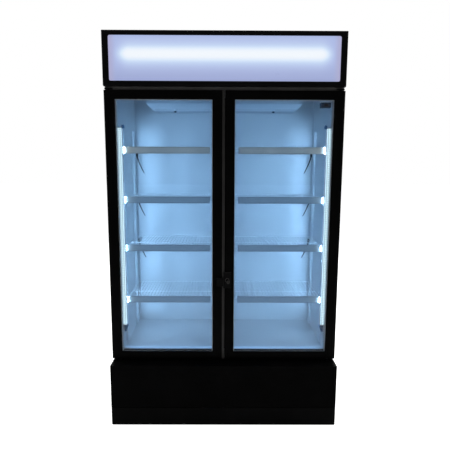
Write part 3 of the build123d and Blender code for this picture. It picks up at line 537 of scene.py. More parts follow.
@dataclass(frozen=True)
class Rubber:
    """Soft black gasket: matt, with a bloom of dust."""

    name: str
    slot: str
    colour: Colour = (0.02, 0.02, 0.022)

    def build(self) -> bpy.types.Material:
        """Makes the material."""
        g = Graph(self.name)
        bloom = g.noise(40.0, 3.0)
        return g.surface(
            Base_Color=g.blend(bloom.ramp(0.4, 0.8), self.colour, (0.05, 0.05, 0.055)),
            Roughness=bloom * 0.2 + 0.6,
            Specular_IOR_Level=0.3,
            Normal=g.bump(g.noise(700.0, 1.0), 0.3, 0.00005),
        )


@dataclass(frozen=True)
class ClearPane:
    """Float glass: seen through, faintly tinted, with a reflection that grows at a slant."""

    name: str
    slot: str
    tint: Colour = (0.965, 0.98, 0.985)
    head_on: float = 0.035

    def build(self) -> bpy.types.Material:
        """Makes the material."""
        g = Graph(self.name)
        smear = g.noise(7.0, 3.0)
        through = g.node("ShaderNodeBsdfTransparent", inputs={"Color": (*self.tint, 1.0)})
        inputs = {"Color": (0.6, 0.6, 0.6, 1.0), "Roughness": smear * 0.03 + 0.01}
        shine = g.node("ShaderNodeBsdfGlossy", inputs=inputs)
        slant = g.node("ShaderNodeLayerWeight", inputs={"Blend": 0.5}, output="Facing")
        mirrored = slant ** 5.0 * 0.9 + self.head_on
        return g.end(g.node("ShaderNodeMixShader", inputs={0: mirrored, 1: through, 2: shine}))


@dataclass(frozen=True)
class SignPanel:
    """Translucent white panel lit from behind by one tube."""

    name: str
    slot: str
    tube_z: float = 1.812
    half_length: float = 0.488
    half_width: float = 0.535
    spread: float = 0.043
    glow: float = 0.92
    fade: tuple[float, float] = (-0.115, -0.02)
    low_tone: Colour = (0.33, 0.39, 0.66)
    high_tone: Colour = (0.40, 0.48, 0.78)
    side_tone: Colour = (0.40, 0.40, 0.62)
    halo_tone: Colour = (0.62, 0.77, 0.98)
    core_tone: Colour = (0.90, 0.95, 1.0)

    def build(self) -> bpy.types.Material:
        """Makes the material."""
        g = Graph(self.name)
        x, _, z = g.axes()
        off = (z - self.tube_z).magnitude() / self.spread
        band = (1.0 / (off * off + 1.0)) ** 1.25
        along = (x.magnitude() / self.half_length).ramp(0.90, 1.10, 1.0, 0.0)
        rim = (x.magnitude() / self.half_width).ramp(0.93, 1.0)
        start, end = (self.tube_z + step for step in self.fade)
        edge = g.blend(z.ramp(start, end), self.low_tone, self.high_tone)
        sides = g.blend(rim, edge, self.side_tone)
        halo = g.blend((band * along).ramp(0.05, 0.75), sides, self.halo_tone)
        return g.surface(
            Base_Color=(0.20, 0.20, 0.22),
            Roughness=g.noise(20.0) * 0.1 + 0.25,
            Specular_IOR_Level=0.3,
            Emission_Color=g.blend((band * along).ramp(0.45, 1.0), halo, self.core_tone),
            Emission_Strength=self.glow,
            Normal=g.bump(g.noise(60.0, 1.0), 0.1, 0.0002),
        )


@dataclass(frozen=True)
class Glow:
    """Lit lamp surface with a slightly uneven glow."""

    name: str
    slot: str
    colour: Colour
    strength: float

    def build(self) -> bpy.types.Material:
        """Makes the material."""
        g = Graph(self.name)
        faint = shade(self.colour, 0.8)
        return g.surface(
            Base_Color=(0.6, 0.65, 0.7),
            Roughness=g.noise(50.0) * 0.1 + 0.2,
            Emission_Color=g.blend(g.noise(30.0), faint, self.colour),
            Emission_Strength=self.strength,
        )


@dataclass(frozen=True)
class ChipStrip:
    """Clear lens over two upright rows of lamp chips, which shine through as dots."""

    name: str
    slot: str
    faint: Colour = (0.46, 0.64, 0.73)
    bright: Colour = (1.15, 1.45, 1.60)
    row: float = 0.5075
    row_gap: float = 0.0088
    pitch: float = 0.009

    def build(self) -> bpy.types.Material:
        """Makes the material."""
        g = Graph(self.name)
        x, _, z = g.axes()
        across = (x.magnitude() - self.row) * (math.tau / self.row_gap) + math.pi / 2
        rows = across.wave().ramp(-0.3, 0.9)
        beat = (z * (math.tau / self.pitch)).wave().ramp(-0.9, 0.6, 0.25, 1.0)
        return g.surface(
            Base_Color=(0.25, 0.28, 0.30),
            Roughness=g.noise(50.0) * 0.1 + 0.15,
            Emission_Color=g.blend(rows * beat, self.faint, self.bright),
            Emission_Strength=1.0,
        )


@dataclass(frozen=True)
class Foam:
    """Cut rigid foam."""

    name: str
    slot: str
    colour: Colour = (0.78, 0.68, 0.42)

    def build(self) -> bpy.types.Material:
        """Makes the material."""
        g = Graph(self.name)
        cells = g.noise(600.0, 3.0)
        return g.surface(
            Base_Color=g.blend(cells, self.colour, shade(self.colour, 0.8)),
            Roughness=0.9,
            Normal=g.bump(cells, 0.6, 0.0003),
        )


BLACK: Colour = (0.0009, 0.0009, 0.0010)
ALONG_X: Point = (8.0, 500.0, 500.0)
ALONG_Z: Point = (500.0, 500.0, 8.0)
# heights over which the label strips change to their painted bounce-light tone
STRIP_PAINTED_LIGHT_SPLIT = (1.15, 1.36)


class Finish(Enum):
    """Every finish of the merchandiser."""

    BODY = PowderCoat("body_powder_coat", "black_steel", BLACK, 0.40, specular=0.22)
    BASE = PowderCoat("base_powder_coat", "black_steel", BLACK, 0.52, specular=0.04)
    PLINTH = PowderCoat("plinth_powder_coat", "black_steel", (0.0024, 0.0024, 0.0026), 0.52, specular=0.05)
    SECTION = Drawn("door_section_black", "black_steel", BLACK, 0.46, ALONG_Z, specular=0.06)
    BEZEL = Drawn("bezel_black", "black_steel", (0.0026, 0.0026, 0.0031), 0.40, ALONG_X, specular=0.12)
    EDGE = Drawn("edge_strip_grey", "grey_plastic", (0.028, 0.027, 0.026), 0.42, ALONG_Z, specular=0.3)
    LINER = WhiteSheet("liner_white", "white_liner", (0.76, 0.78, 0.80))
    # The tray's brighter front and darker rear underside are painted light and painted shade, not a change
    # of material.
    COVER = WhiteSheet(
        "evaporator_cover_white",
        "white_liner",
        (0.52, 0.56, 0.62),
        roughness=0.45,
        near=(0.76, 0.79, 0.83),
        painted_light_split=(0.160, 0.172),
    )
    FRAME = Moulded("opening_frame_white", "white_plastic", (0.66, 0.70, 0.74), 0.5, 0.00002)
    MULLION = Moulded("mullion_grey", "grey_plastic", (0.030, 0.034, 0.040), 0.5)
    # The plug's blue cast is the light strips' blue light painted into its colour.
    PLUG = Moulded("cable_plug_painted_blue_light", "grey_plastic", (0.13, 0.26, 0.44), 0.5)
    INLET = Moulded("inlet_black", "black_plastic", (0.010, 0.010, 0.012), 0.4)
    UPRIGHT = PowderCoat("upright_white", "white_liner", (0.70, 0.74, 0.78), 0.4, 0.00002, 0.5)
    WIRE = Moulded("dipped_wire_white", "white_wire", (0.88, 0.90, 0.92), 0.35, 0.00002, coat=0.3)
    # The lower label holders and cards take a greyer, bluer tone: painted bounce light from the light
    # strips.
    LABEL = Moulded(
        "label_holder_grey",
        "grey_plastic",
        (0.64, 0.505, 0.40),
        roughness=0.35,
        grain=0.00002,
        specular=0.3,
        low=(0.45, 0.455, 0.46),
        painted_light_split=STRIP_PAINTED_LIGHT_SPLIT,
    )
    CARD = Moulded(
        "label_card",
        "white_plastic",
        (0.77, 0.595, 0.46),
        roughness=0.5,
        grain=0.00002,
        low=(0.53, 0.535, 0.53),
        painted_light_split=STRIP_PAINTED_LIGHT_SPLIT,
    )
    CLIP = Moulded("black_moulding", "black_plastic", (0.010, 0.010, 0.012), 0.45)
    LOCK = Moulded("lock_moulding", "black_plastic", (0.0018, 0.0018, 0.0020), 0.42, specular=0.12)
    SWITCH = Moulded("switch_moulding", "black_plastic", (0.040, 0.055, 0.080), 0.5)
    HEADER = Drawn("header_strip_grey", "grey_plastic", (0.165, 0.160, 0.156), 0.42, ALONG_X, specular=0.3)
    GALVANISED = BareMetal("galvanised_sheet", "galvanised", (0.60, 0.62, 0.63), 0.42, spangle=60.0)
    FIN = BareMetal("aluminium_fin", "galvanised", (0.72, 0.73, 0.74), 0.36, stretch=(40.0, 40.0, 900.0))
    ZINC = BareMetal("zinc_plated", "zinc_steel", (0.62, 0.62, 0.60), 0.35)
    COPPER = BareMetal("copper_tube", "copper", (0.72, 0.36, 0.22), 0.3)
    CHROME = BareMetal("polished_chrome", "chrome", (0.060, 0.058, 0.056), 0.30)
    ENAMEL = PowderCoat("compressor_enamel", "compressor_black", (0.006, 0.006, 0.007), 0.24, 0.00006, 0.5)
    FAN = Moulded("fan_plastic", "fan_black", (0.015, 0.015, 0.017), 0.42)
    SOCKET = Moulded("white_moulding", "white_plastic", (0.72, 0.74, 0.78), 0.4)
    SPACER = BareMetal("glass_spacer", "spacer", (0.80, 0.82, 0.84), 0.55)
    SEAL = Rubber("gasket_rubber", "gasket")
    PANE = ClearPane("float_glass", "clear_glass")
    FOAM = Foam("rigid_foam", "foam")
    SIGN = SignPanel("sign_panel", "light_panel")
    TUBE = Glow("frosted_tube", "lamp", (0.95, 0.97, 1.0), 2.0)
    LENS = ChipStrip("chip_strip_lens", "led_lens")

    @property
    def slot(self) -> str:
        """The record's slot that the finish belongs to."""
        return self.value.slot

    def material(self) -> bpy.types.Material:
        """The finish's material, made once."""
        return bpy.data.materials.get(self.value.name) or self.value.build()


# --------------------------------------------------------------------------- mesh making
CRISP = 32.0  # degrees: edges that turn by more stay crisp in the shading
SOFTENED = 28.0  # degrees: edges that turn by more get a softened edge


class Axis(Enum):
    """Direction that a form is drawn along; outlines give the two other places in order."""

    X = 0
    Y = 1
    Z = 2

    def point(self, along: float, first: float, second: float) -> Vector:
        """Place from a distance along the axis and the two others."""
        rest = [first, second]
        rest.insert(self.value, along)
        return Vector(rest)


@dataclass(frozen=True)
class Rect:
    """Upright rectangle that faces the front, with rounded corners."""

    x0: float
    x1: float
    z0: float
    z1: float
    radius: float = 0.4 * MM

    def grown(self, by: float, radius: float | None = None) -> "Rect":
        """The same rectangle, larger on every side."""
        bend = self.radius if radius is None else radius
        return Rect(self.x0 - by, self.x1 + by, self.z0 - by, self.z1 + by, bend)

    def outline(self, steps: int = 5) -> Outline:
        """Its line as (x, z) places.

        Args:
            steps: runs in each corner.

        Returns:
            The corners' arcs in order.
        """
        r = self.radius
        corners = (
            (self.x1 - r, self.z0 + r),
            (self.x1 - r, self.z1 - r),
            (self.x0 + r, self.z1 - r),
            (self.x0 + r, self.z0 + r),
        )
        points = []
        for quarter, (x, z) in enumerate(corners):
            for step in range(steps + 1):
                turn = math.radians(90 * (quarter - 1 + step / steps))
                points.append((x + r * math.cos(turn), z + r * math.sin(turn)))
        return points


def rims(rect: Rect, y: float, *steps: tuple[float, ...]) -> list[tuple[Rect, float]]:
    """Sections of a stepped frame.

    Args:
        rect: rectangle that the steps start from.
        y: its place along Y.
        steps: growth, shift along Y and, if it changes, corner radius, all in millimetres.

    Returns:
        Each rectangle with its place along Y.
    """
    return [(rect.grown(g * MM, *(r * MM for r in bend)), y + a * MM) for g, a, *bend in steps]


@dataclass(frozen=True)
class Space:
    """The box of a construction node, as plain numbers in metres."""

    x0: float
    y0: float
    z0: float
    x1: float
    y1: float
    z1: float

    @classmethod
    def of(cls, node: str) -> "Space":
        """The box of a node."""
        low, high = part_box(node)
        return cls(*low, *high)

    @property
    def rect(self) -> Rect:
        """Its front view."""
        return Rect(self.x0, self.x1, self.z0, self.z1)

    @property
    def middle(self) -> Vector:
        """Its centre."""
        return Vector(((self.x0 + self.x1) / 2, (self.y0 + self.y1) / 2, (self.z0 + self.z1) / 2))


class Form:
    """A mesh in the making, in metres in the shared frame."""

    def __init__(self) -> None:
        """Starts empty."""
        self.bm = bmesh.new()

    def ring(self, points: Iterable[Vector]) -> list[bmesh.types.BMVert]:
        """Adds a row of points."""
        return [self.bm.verts.new(point) for point in points]

    def bridge(self, one: list, two: list, closed: bool = True) -> None:
        """Joins two rows of equal length, or a row and a single point.

        Args:
            one: first row.
            two: second row.
            closed: joins the rows' ends as well.
        """
        count = max(len(one), len(two))
        for i in range(count if closed else count - 1):
            j = (i + 1) % count
            corners = (one[i % len(one)], one[j % len(one)], two[j % len(two)], two[i % len(two)])
            self.bm.faces.new(list(dict.fromkeys(corners)))

    def prism(self, axis: Axis, outline: Outline, start: float, end: float) -> "Form":
        """Adds a closed outline drawn along an axis.

        Args:
            axis: direction of drawing.
            outline: corners on the two other axes.
            start: where it begins.
            end: where it ends.

        Returns:
            The form itself.
        """
        near, far = (self.ring(axis.point(level, *spot) for spot in outline) for level in (start, end))
        self.bridge(near, far)
        self.bm.faces.new(near)
        self.bm.faces.new(far)
        return self

    def block(self, low: Point, high: Point) -> "Form":
        """Adds a box between two corners."""
        outline = [(low[0], low[1]), (high[0], low[1]), (high[0], high[1]), (low[0], high[1])]
        return self.prism(Axis.Z, outline, low[2], high[2])

    def lathe(
        self,
        axis: Axis,
        centre: tuple[float, float],
        profile: Outline,
        steps: int = 24,
        hollow: bool = False,
    ) -> "Form":
        """Adds a turned shape.

        Args:
            axis: direction of its axis.
            centre: the axis's place on the two other axes.
            profile: (radius, place along the axis) from one end to the other.
            steps: sides of each ring.
            hollow: joins the last ring to the first.

        Returns:
            The form itself.
        """
        rings = []
        for radius, along in profile:
            turns = [math.tau * n / steps for n in range(steps if radius else 1)]
            spots = [(centre[0] + radius * math.cos(t), centre[1] + radius * math.sin(t)) for t in turns]
            rings.append(self.ring(axis.point(along, *spot) for spot in spots))
        for one, two in zip(rings, rings[1:] + (rings[:1] if hollow else [])):
            self.bridge(one, two)
        return self

    def rod(
        self,
        axis: Axis,
        centre: tuple[float, float],
        radius: float,
        start: float,
        end: float,
        steps: int = 10,
    ) -> "Form":
        """Adds a round bar with softened ends."""
        soft = math.copysign(radius * 0.3, end - start)
        profile = [
            (0.0, start),
            (radius - abs(soft), start),
            (radius, start + soft),
            (radius, end - soft),
            (radius - abs(soft), end),
            (0.0, end),
        ]
        return self.lathe(axis, centre, profile, steps)

    def loft(self, sections: list[tuple[Rect, float]], hollow: bool = False, steps: int = 5) -> "Form":
        """Adds a shape through rectangles that face the front.

        Args:
            sections: each rectangle with its place along Y.
            hollow: joins the last section to the first, which makes a frame.
            steps: runs in each rounded corner.

        Returns:
            The form itself.
        """
        rings = [self.ring(Vector((x, y, z)) for x, z in rect.outline(steps)) for rect, y in sections]
        for one, two in zip(rings, rings[1:] + (rings[:1] if hollow else [])):
            self.bridge(one, two)
        if not hollow:
            self.bm.faces.new(rings[0])
            self.bm.faces.new(rings[-1])
        return self

    def plate(self, rows: list[list[Vector]], offset: Vector) -> "Form":
        """Adds a curved plate.

        Args:
            rows: grid of points on one side.
            offset: step to the other side.

        Returns:
            The form itself.
        """
        sides = [[self.ring(point + shift for point in row) for row in rows] for shift in (Vector(), offset)]
        for grid in sides:
            for one, two in zip(grid, grid[1:]):
                self.bridge(one, two, closed=False)
        rims = [[*g[0], *(r[-1] for r in g[1:-1]), *g[-1][::-1], *(r[0] for r in g[-2:0:-1])] for g in sides]
        self.bridge(*rims)
        return self

    def pipe(self, route: list[Point], radius: float) -> "Form":
        """Adds a tube along a smooth route."""
        curve = bpy.data.curves.new("route", "CURVE")
        curve.dimensions = "3D"
        curve.bevel_depth = radius
        curve.bevel_resolution = 3
        curve.use_fill_caps = True
        spline = curve.splines.new("NURBS")
        spline.points.add(len(route) - 1)
        for point, place in zip(spline.points, route):
            point.co = (*place, 1.0)
        spline.order_u = 3
        spline.use_endpoint_u = True
        holder = bpy.data.objects.new("route", curve)
        mesh = bpy.data.meshes.new_from_object(holder)
        bpy.data.objects.remove(holder)
        return self.take(mesh)

    def take(self, mesh: bpy.types.Mesh) -> "Form":
        """Adds a finished mesh."""
        self.bm.from_mesh(mesh)
        bpy.data.meshes.remove(mesh)
        return self

    def mirror(self) -> "Form":
        """Adds the same shape on the other side of the cabinet."""
        copied = bmesh.ops.duplicate(self.bm, geom=self.bm.verts[:] + self.bm.edges[:] + self.bm.faces[:])
        for item in copied["geom"]:
            if isinstance(item, bmesh.types.BMVert):
                item.co.x = -item.co.x
        return self

    def to_object(self, name: str) -> bpy.types.Object:
        """Ends the form.

        Args:
            name: name of the piece.

        Returns:
            The piece, not yet riding on anything.
        """
        for face in self.bm.faces:
            face.material_index = 0
            face.smooth = True
        bmesh.ops.recalc_face_normals(self.bm, faces=self.bm.faces[:])
        mesh = bpy.data.meshes.new(name)
        self.bm.to_mesh(mesh)
        self.bm.free()
        for spare in ("custom_normal", "sharp_edge", "sharp_face"):
            if spare in mesh.attributes:
                mesh.attributes.remove(mesh.attributes[spare])
        mesh.set_sharp_from_angle(angle=math.radians(CRISP))
        piece = bpy.data.objects.new(name, mesh)
        bpy.context.scene.collection.objects.link(piece)
        return piece


GRID = grid_growth()
CIRCLE = circle_growth()


def paint(piece: bpy.types.Object, material: bpy.types.Material) -> None:
    """Puts one material on a whole piece."""
    piece.data.materials.clear()
    piece.data.materials.append(material)


def dress(node: str, finish: Finish) -> None:
    """Gives a construction node that stays in view its finish."""
    paint(frame["nodes"][node], finish.material())
    log.info("%s keeps its form, %s", node, finish.name.lower())


def fit(
    form: Form, name: str, finish: Finish, *stands_for: str, body: str = "cabinet", edge: float = 0.0
) -> bpy.types.Object:
    """Ends a form as a piece of the merchandiser.

    Args:
        form: the form.
        name: name of the piece.
        finish: what it is made of.
        stands_for: construction nodes that it replaces.
        body: body that it rides on.
        edge: width of its softened edges.

    Returns:
        The piece.
    """
    piece = form.to_object(name)
    paint(piece, finish.material())
    if edge:
        bevel = piece.modifiers.new("softened_edges", "BEVEL")
        bevel.width = edge
        bevel.segments = 2
        bevel.limit_method = "ANGLE"
        bevel.angle_limit = math.radians(SOFTENED)
        bevel.harden_normals = True
    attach(piece, body)
    if stands_for:
        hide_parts(*stands_for)
    finish.slot
    log.info("%s on %s, %s", name, body, finish.name.lower())
    return piece


def solid_of(node: str, shift: Point = (0.0, 0.0, 0.0)) -> Form:
    """A merged copy of a construction node's shape, ready for softening.

    Args:
        node: the node.
        shift: small step away from its own place.

    Returns:
        The copy.
    """
    form = Form()
    form.bm.from_mesh(frame["nodes"][node].data)
    bmesh.ops.remove_doubles(form.bm, verts=form.bm.verts[:], dist=0.01 * MM)
    bmesh.ops.dissolve_limit(
        form.bm, angle_limit=math.radians(0.4), verts=form.bm.verts[:], edges=form.bm.edges[:]
    )
    bmesh.ops.translate(form.bm, vec=shift, verts=form.bm.verts[:])
    return form


def refine(node: str, name: str, finish: Finish, edge: float) -> bpy.types.Object:
    """Stands a softened copy in for a construction node.

    Args:
        node: the node.
        name: name of the piece.
        finish: what it is made of.
        edge: width of its softened edges.

    Returns:
        The piece.
    """
    body = frame["nodes"][node]["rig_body"]
    return fit(solid_of(node), name, finish, node, body=body, edge=edge)


def screw(axis: Axis, centre: tuple[float, float], seat: float, way: float, radius: float) -> Form:
    """Pan head with a socket, standing on a face.

    Args:
        axis: direction of the screw.
        centre: its place on the two other axes.
        seat: place of the face along the axis.
        way: +1 or -1, the side that the head stands on.
        radius: of the head.

    Returns:
        The head.
    """
    shares = ((0.0, 0.1), (0.45, 0.1), (0.45, 0.55), (0.7, 0.52), (0.93, 0.3), (1.0, 0.0), (0.0, 0.0))
    profile = [(share * radius, seat + way * height * radius) for share, height in shares]
    return Form().lathe(axis, centre, profile, 14)


# --------------------------------------------------------------------------- sub-assemblies
@dataclass
class Canopy:
    """Lit sign box over the doors."""

    side: float = 29.0 * MM
    top: float = 21.0 * MM
    bottom: float = 23.5 * MM
    corner: float = 8.0 * MM
    lip: float = 7.0 * MM
    cap: float = 22.0 * MM

    def build(self) -> None:
        """Makes the housing, the bezel, the panel and the tube."""
        refine("canopy_housing", "canopy_shell", Finish.BODY, 0.5 * MM)
        self.bezel()
        panel = Space.of("canopy_light_panel")
        sheet = panel.rect.grown(0.0, 6 * MM)
        inner = sheet.grown(-1 * MM)
        form = Form().loft([(inner, panel.y0), (sheet, panel.y0 + 1 * MM), (sheet, panel.y1)])
        fit(form, "canopy_sign_sheet", Finish.SIGN, "canopy_light_panel")
        self.tube()
        refine("canopy_tube_holders", "canopy_lampholders", Finish.SOCKET, 2 * MM)

    def bezel(self) -> None:
        """One frame with rounded inner corners that holds the panel."""
        box = Space.of("canopy_bezel")
        outer = Rect(box.x0, box.x1, box.z0, box.z1, 2.5 * MM)
        x0, x1 = box.x0 + self.side, box.x1 - self.side
        hole = Rect(x0, x1, box.z0 + self.bottom, box.z1 - self.top, self.corner)
        front, back = box.y0, box.y1
        sections = [(outer, back), *rims(outer, front, (0, 2), (-0.6, 0.6, 2), (-2, 0, 1))]
        sections += rims(hole, front, (2, 0), (0.6, 0.6), (0, 2))
        sections += rims(hole, front + self.lip, (0, -0.2), (9, -0.2))
        sections.append((hole.grown(9.2 * MM), back))
        form = Form().loft(sections, hollow=True)
        fit(form, "canopy_bezel_frame", Finish.BEZEL, "canopy_bezel")

    def tube(self) -> None:
        """Frosted tube with metal end caps."""
        box = Space.of("canopy_tube")
        radius = (box.z1 - box.z0) / 2
        centre = (box.middle.y, box.middle.z)
        start, end, sides = box.x0 + self.cap * 0.5, box.x1 - self.cap * 0.5, 32
        glass = Form().rod(Axis.X, centre, radius - 0.4 * MM, start, end, sides)
        fit(glass, "canopy_lamp_glass", Finish.TUBE, "canopy_tube")
        caps = Form().rod(Axis.X, centre, radius, box.x1 - self.cap, box.x1, sides).mirror()
        fit(caps, "canopy_lamp_caps", Finish.FIN)


@dataclass
class Door:
    """Framed insulating-glass door."""

    side: str
    meeting_trim: float
    pane_edge: float = 9.0 * MM
    pocket: float = 12.0 * MM
    sight_bar: float = 3.5 * MM
    gasket_w: float = 14.0 * MM
    sill_trim: float = 12.0 * MM
    head_trim: float = 3.5 * MM
    pane_t: float = 4.0 * MM
    pane_soft: float = 0.6 * MM

    def build(self) -> None:
        """Makes the section frame, the glass unit and the gasket."""
        body = f"{self.side}_door"
        box = Space.of(f"{self.side}_door_frame")
        unit = Space.of(f"{self.side}_door_glass")
        seen = unit.rect.grown(-self.pane_edge)
        x0, x1 = seen.x0, seen.x1
        if self.side == "left":
            x1 += self.meeting_trim
        else:
            x0 -= self.meeting_trim
        sight = Rect(x0, x1, seen.z0 - self.sill_trim, seen.z1 + self.head_trim, 1.2 * MM)
        self.section(body, box, unit, sight)
        self.glass(body, unit, sight.grown(self.pane_edge, 2 * MM))
        self.spacer(body, sight)
        self.gasket(body)

    def section(self, body: str, box: Space, unit: Space, sight: Rect) -> None:
        """Frame of one rounded section with its glazing pocket.

        Args:
            body: body that it rides on.
            box: space of the frame.
            unit: space of the glass unit.
            sight: opening that the glass shows in.
        """
        outer = Rect(box.x0, box.x1, box.z0, box.z1, 1.5 * MM)
        front, back = box.y0, box.y1
        deep = sight.grown(self.pocket)
        near, far = unit.y0 - 0.15 * MM, unit.y1 + 0.15 * MM
        sections = [(outer, back), *rims(outer, front, (0, 4), (-0.6, 1.9), (-1.9, 0.6), (-4, 0))]
        sections += rims(sight, front, (1.5, 0), (0.4, 0.4), (0, 1.5))
        sections += [(sight, near), (deep, near), (deep, far), (sight, far)]
        sections += rims(sight, back, (0, -0.8), (0.8, 0))
        form = Form().loft(sections, hollow=True, steps=3)
        fit(form, f"{body}_section", Finish.SECTION, f"{body}_frame", body=body)

    def glass(self, body: str, unit: Space, rect: Rect) -> None:
        """Two panes with ground edges."""
        form = Form()
        soft = self.pane_soft
        slim = rect.grown(-soft)
        for near in (unit.y0, unit.y1 - self.pane_t):
            far = near + self.pane_t
            form.loft([(slim, near), (rect, near + soft), (rect, far - soft), (slim, far)])
        fit(form, f"{body}_panes", Finish.PANE, f"{body}_glass", body=body)

    def spacer(self, body: str, sight: Rect) -> None:
        """Metal bar between the panes, just inside the frame, with sealant over its lower run."""
        box = Space.of(f"{body}_spacer")
        outer = sight.grown(self.pane_edge - 0.2 * MM, 1 * MM)
        slim = sight.grown(-self.sight_bar)
        inner = Rect(slim.x0, slim.x1, sight.z0 + 0.3 * MM, slim.z1, 1 * MM)
        sections = [(outer, box.y0), *rims(inner, box.y0, (1.2, 0), (0, 1.2))]
        sections += [*rims(inner, box.y1, (0, -1.2), (1.2, 0)), (outer, box.y1)]
        form = Form().loft(sections, hollow=True, steps=2)
        fit(form, f"{body}_spacer_bar", Finish.SPACER, f"{body}_spacer", body=body)
        soft = 0.2 * MM
        low = (slim.x0 + soft, box.y0 + soft, sight.z0 - soft)
        foot = Form().block(low, (slim.x1 - soft, box.y1 - soft, sight.z0 + 5 * soft))
        fit(foot, f"{body}_sealant", Finish.SEAL, body=body, edge=soft)

    def gasket(self, body: str) -> None:
        """Magnetic gasket with a bellows waist and a flat magnet pocket."""
        box = Space.of(f"{body}_gasket")
        near, far = box.y0, box.y1
        deep = far - near
        outer = box.rect.grown(0.0, 2 * MM)
        inner = box.rect.grown(-self.gasket_w, 1 * MM)
        walls = ((0.0, 3.0), (0.18, 1.6), (0.36, 3.2), (0.54, 0.5), (0.7, 0.0), (0.94, 0.2), (1.0, 0.9))
        outside = [(outer.grown(-inset * MM), near + share * deep) for share, inset in walls]
        inside = [(inner.grown(inset * MM), near + share * deep) for share, inset in reversed(walls)]
        form = Form().loft(outside + inside, hollow=True, steps=2)
        fit(form, f"{body}_bellows", Finish.SEAL, f"{body}_gasket", body=body)


@dataclass
class MeetingEdge:
    """Trim where the doors meet, and the lock across it."""

    lap: float = 7.0 * MM
    reach: float = 5.0 * MM
    proud: float = 1.4 * MM
    depth: float = 7.0 * MM
    barrel_r: float = 8.0 * MM
    key_h: float = 6.0 * MM
    key_w: float = 1.1 * MM

    def build(self) -> None:
        """Makes the edge strip, the header strip and the lock."""
        self.strip()
        self.header()
        self.lock()

    def strip(self) -> None:
        """Grey edge strip on the left door, covering the gap."""
        door = Space.of("left_door_frame")
        front = door.y0
        x0, x1 = door.x1 - self.lap, door.x1 + self.reach
        mid = (x0 + x1) / 2
        outline = [
            (x0, front - 0.1 * MM),
            (x0 + 1.0 * MM, front - self.proud * 0.7),
            (mid, front - self.proud),
            (x1 - 1.2 * MM, front - self.proud * 0.8),
            (x1, front - self.proud * 0.3),
            (x1, front + 0.6 * MM),
            (door.x1 + 1.2 * MM, front + 1.0 * MM),
            (door.x1 + 1.2 * MM, front + self.depth),
            (door.x1 + 0.1 * MM, front + self.depth),
            (door.x1 + 0.1 * MM, front + 0.2 * MM),
        ]
        form = Form().prism(Axis.Z, outline, door.z0 + 1 * MM, door.z1 - 1 * MM)
        fit(form, "left_door_edge_strip", Finish.EDGE, body="left_door", edge=0.3 * MM)

    def header(self) -> None:
        """Grey strip in the gap between the canopy and the doors."""
        canopy = Space.of("canopy_housing")
        door = Space.of("left_door_frame")
        back = canopy.y1
        half = canopy.x1 - 4 * MM
        low, high = door.z1 + 1.5 * MM, canopy.z0 - 0.3 * MM
        foot = at((back, low), (-34, 1), (-33, 0), (-29, 0))
        outline = [(back - 34 * MM, high), *foot, (back - 27 * MM, high)]
        form = Form().prism(Axis.X, outline, -half, half)
        fit(form, "header_drip_strip", Finish.HEADER, edge=0.3 * MM)

    def lock(self) -> None:
        """Case, turning barrel with its keyway, and the keeper."""
        refine("lock_housing", "lock_case", Finish.LOCK, 1.6 * MM)
        refine("lock_keeper", "lock_catch", Finish.LOCK, 0.6 * MM)
        refine("lock_cylinder", "lock_cam_shaft", Finish.CHROME, 0.25 * MM)
        case = Space.of("lock_housing")
        barrel = Space.of("lock_cylinder")
        x, z, face = case.middle.x, case.middle.z, barrel.y0
        rim = ((3.2, 0.2), (3.2, -0.9), (2.4, -1.8), (0.7, -1.9), (0.3, -1.2), (0.3, 0.2))
        collar = Form().lathe(Axis.Y, (x, z), at((self.barrel_r, case.y0), *rim), 32, hollow=True)
        fit(collar, "lock_collar", Finish.CHROME, body="right_door")
        key = Form().block(
            (x - self.key_w / 2, face - 0.12 * MM, z - self.key_h / 2),
            (x + self.key_w / 2, face + 0.4 * MM, z + self.key_h / 2),
        )
        fit(key, "lock_keyway", Finish.LOCK, body="lock_barrel")


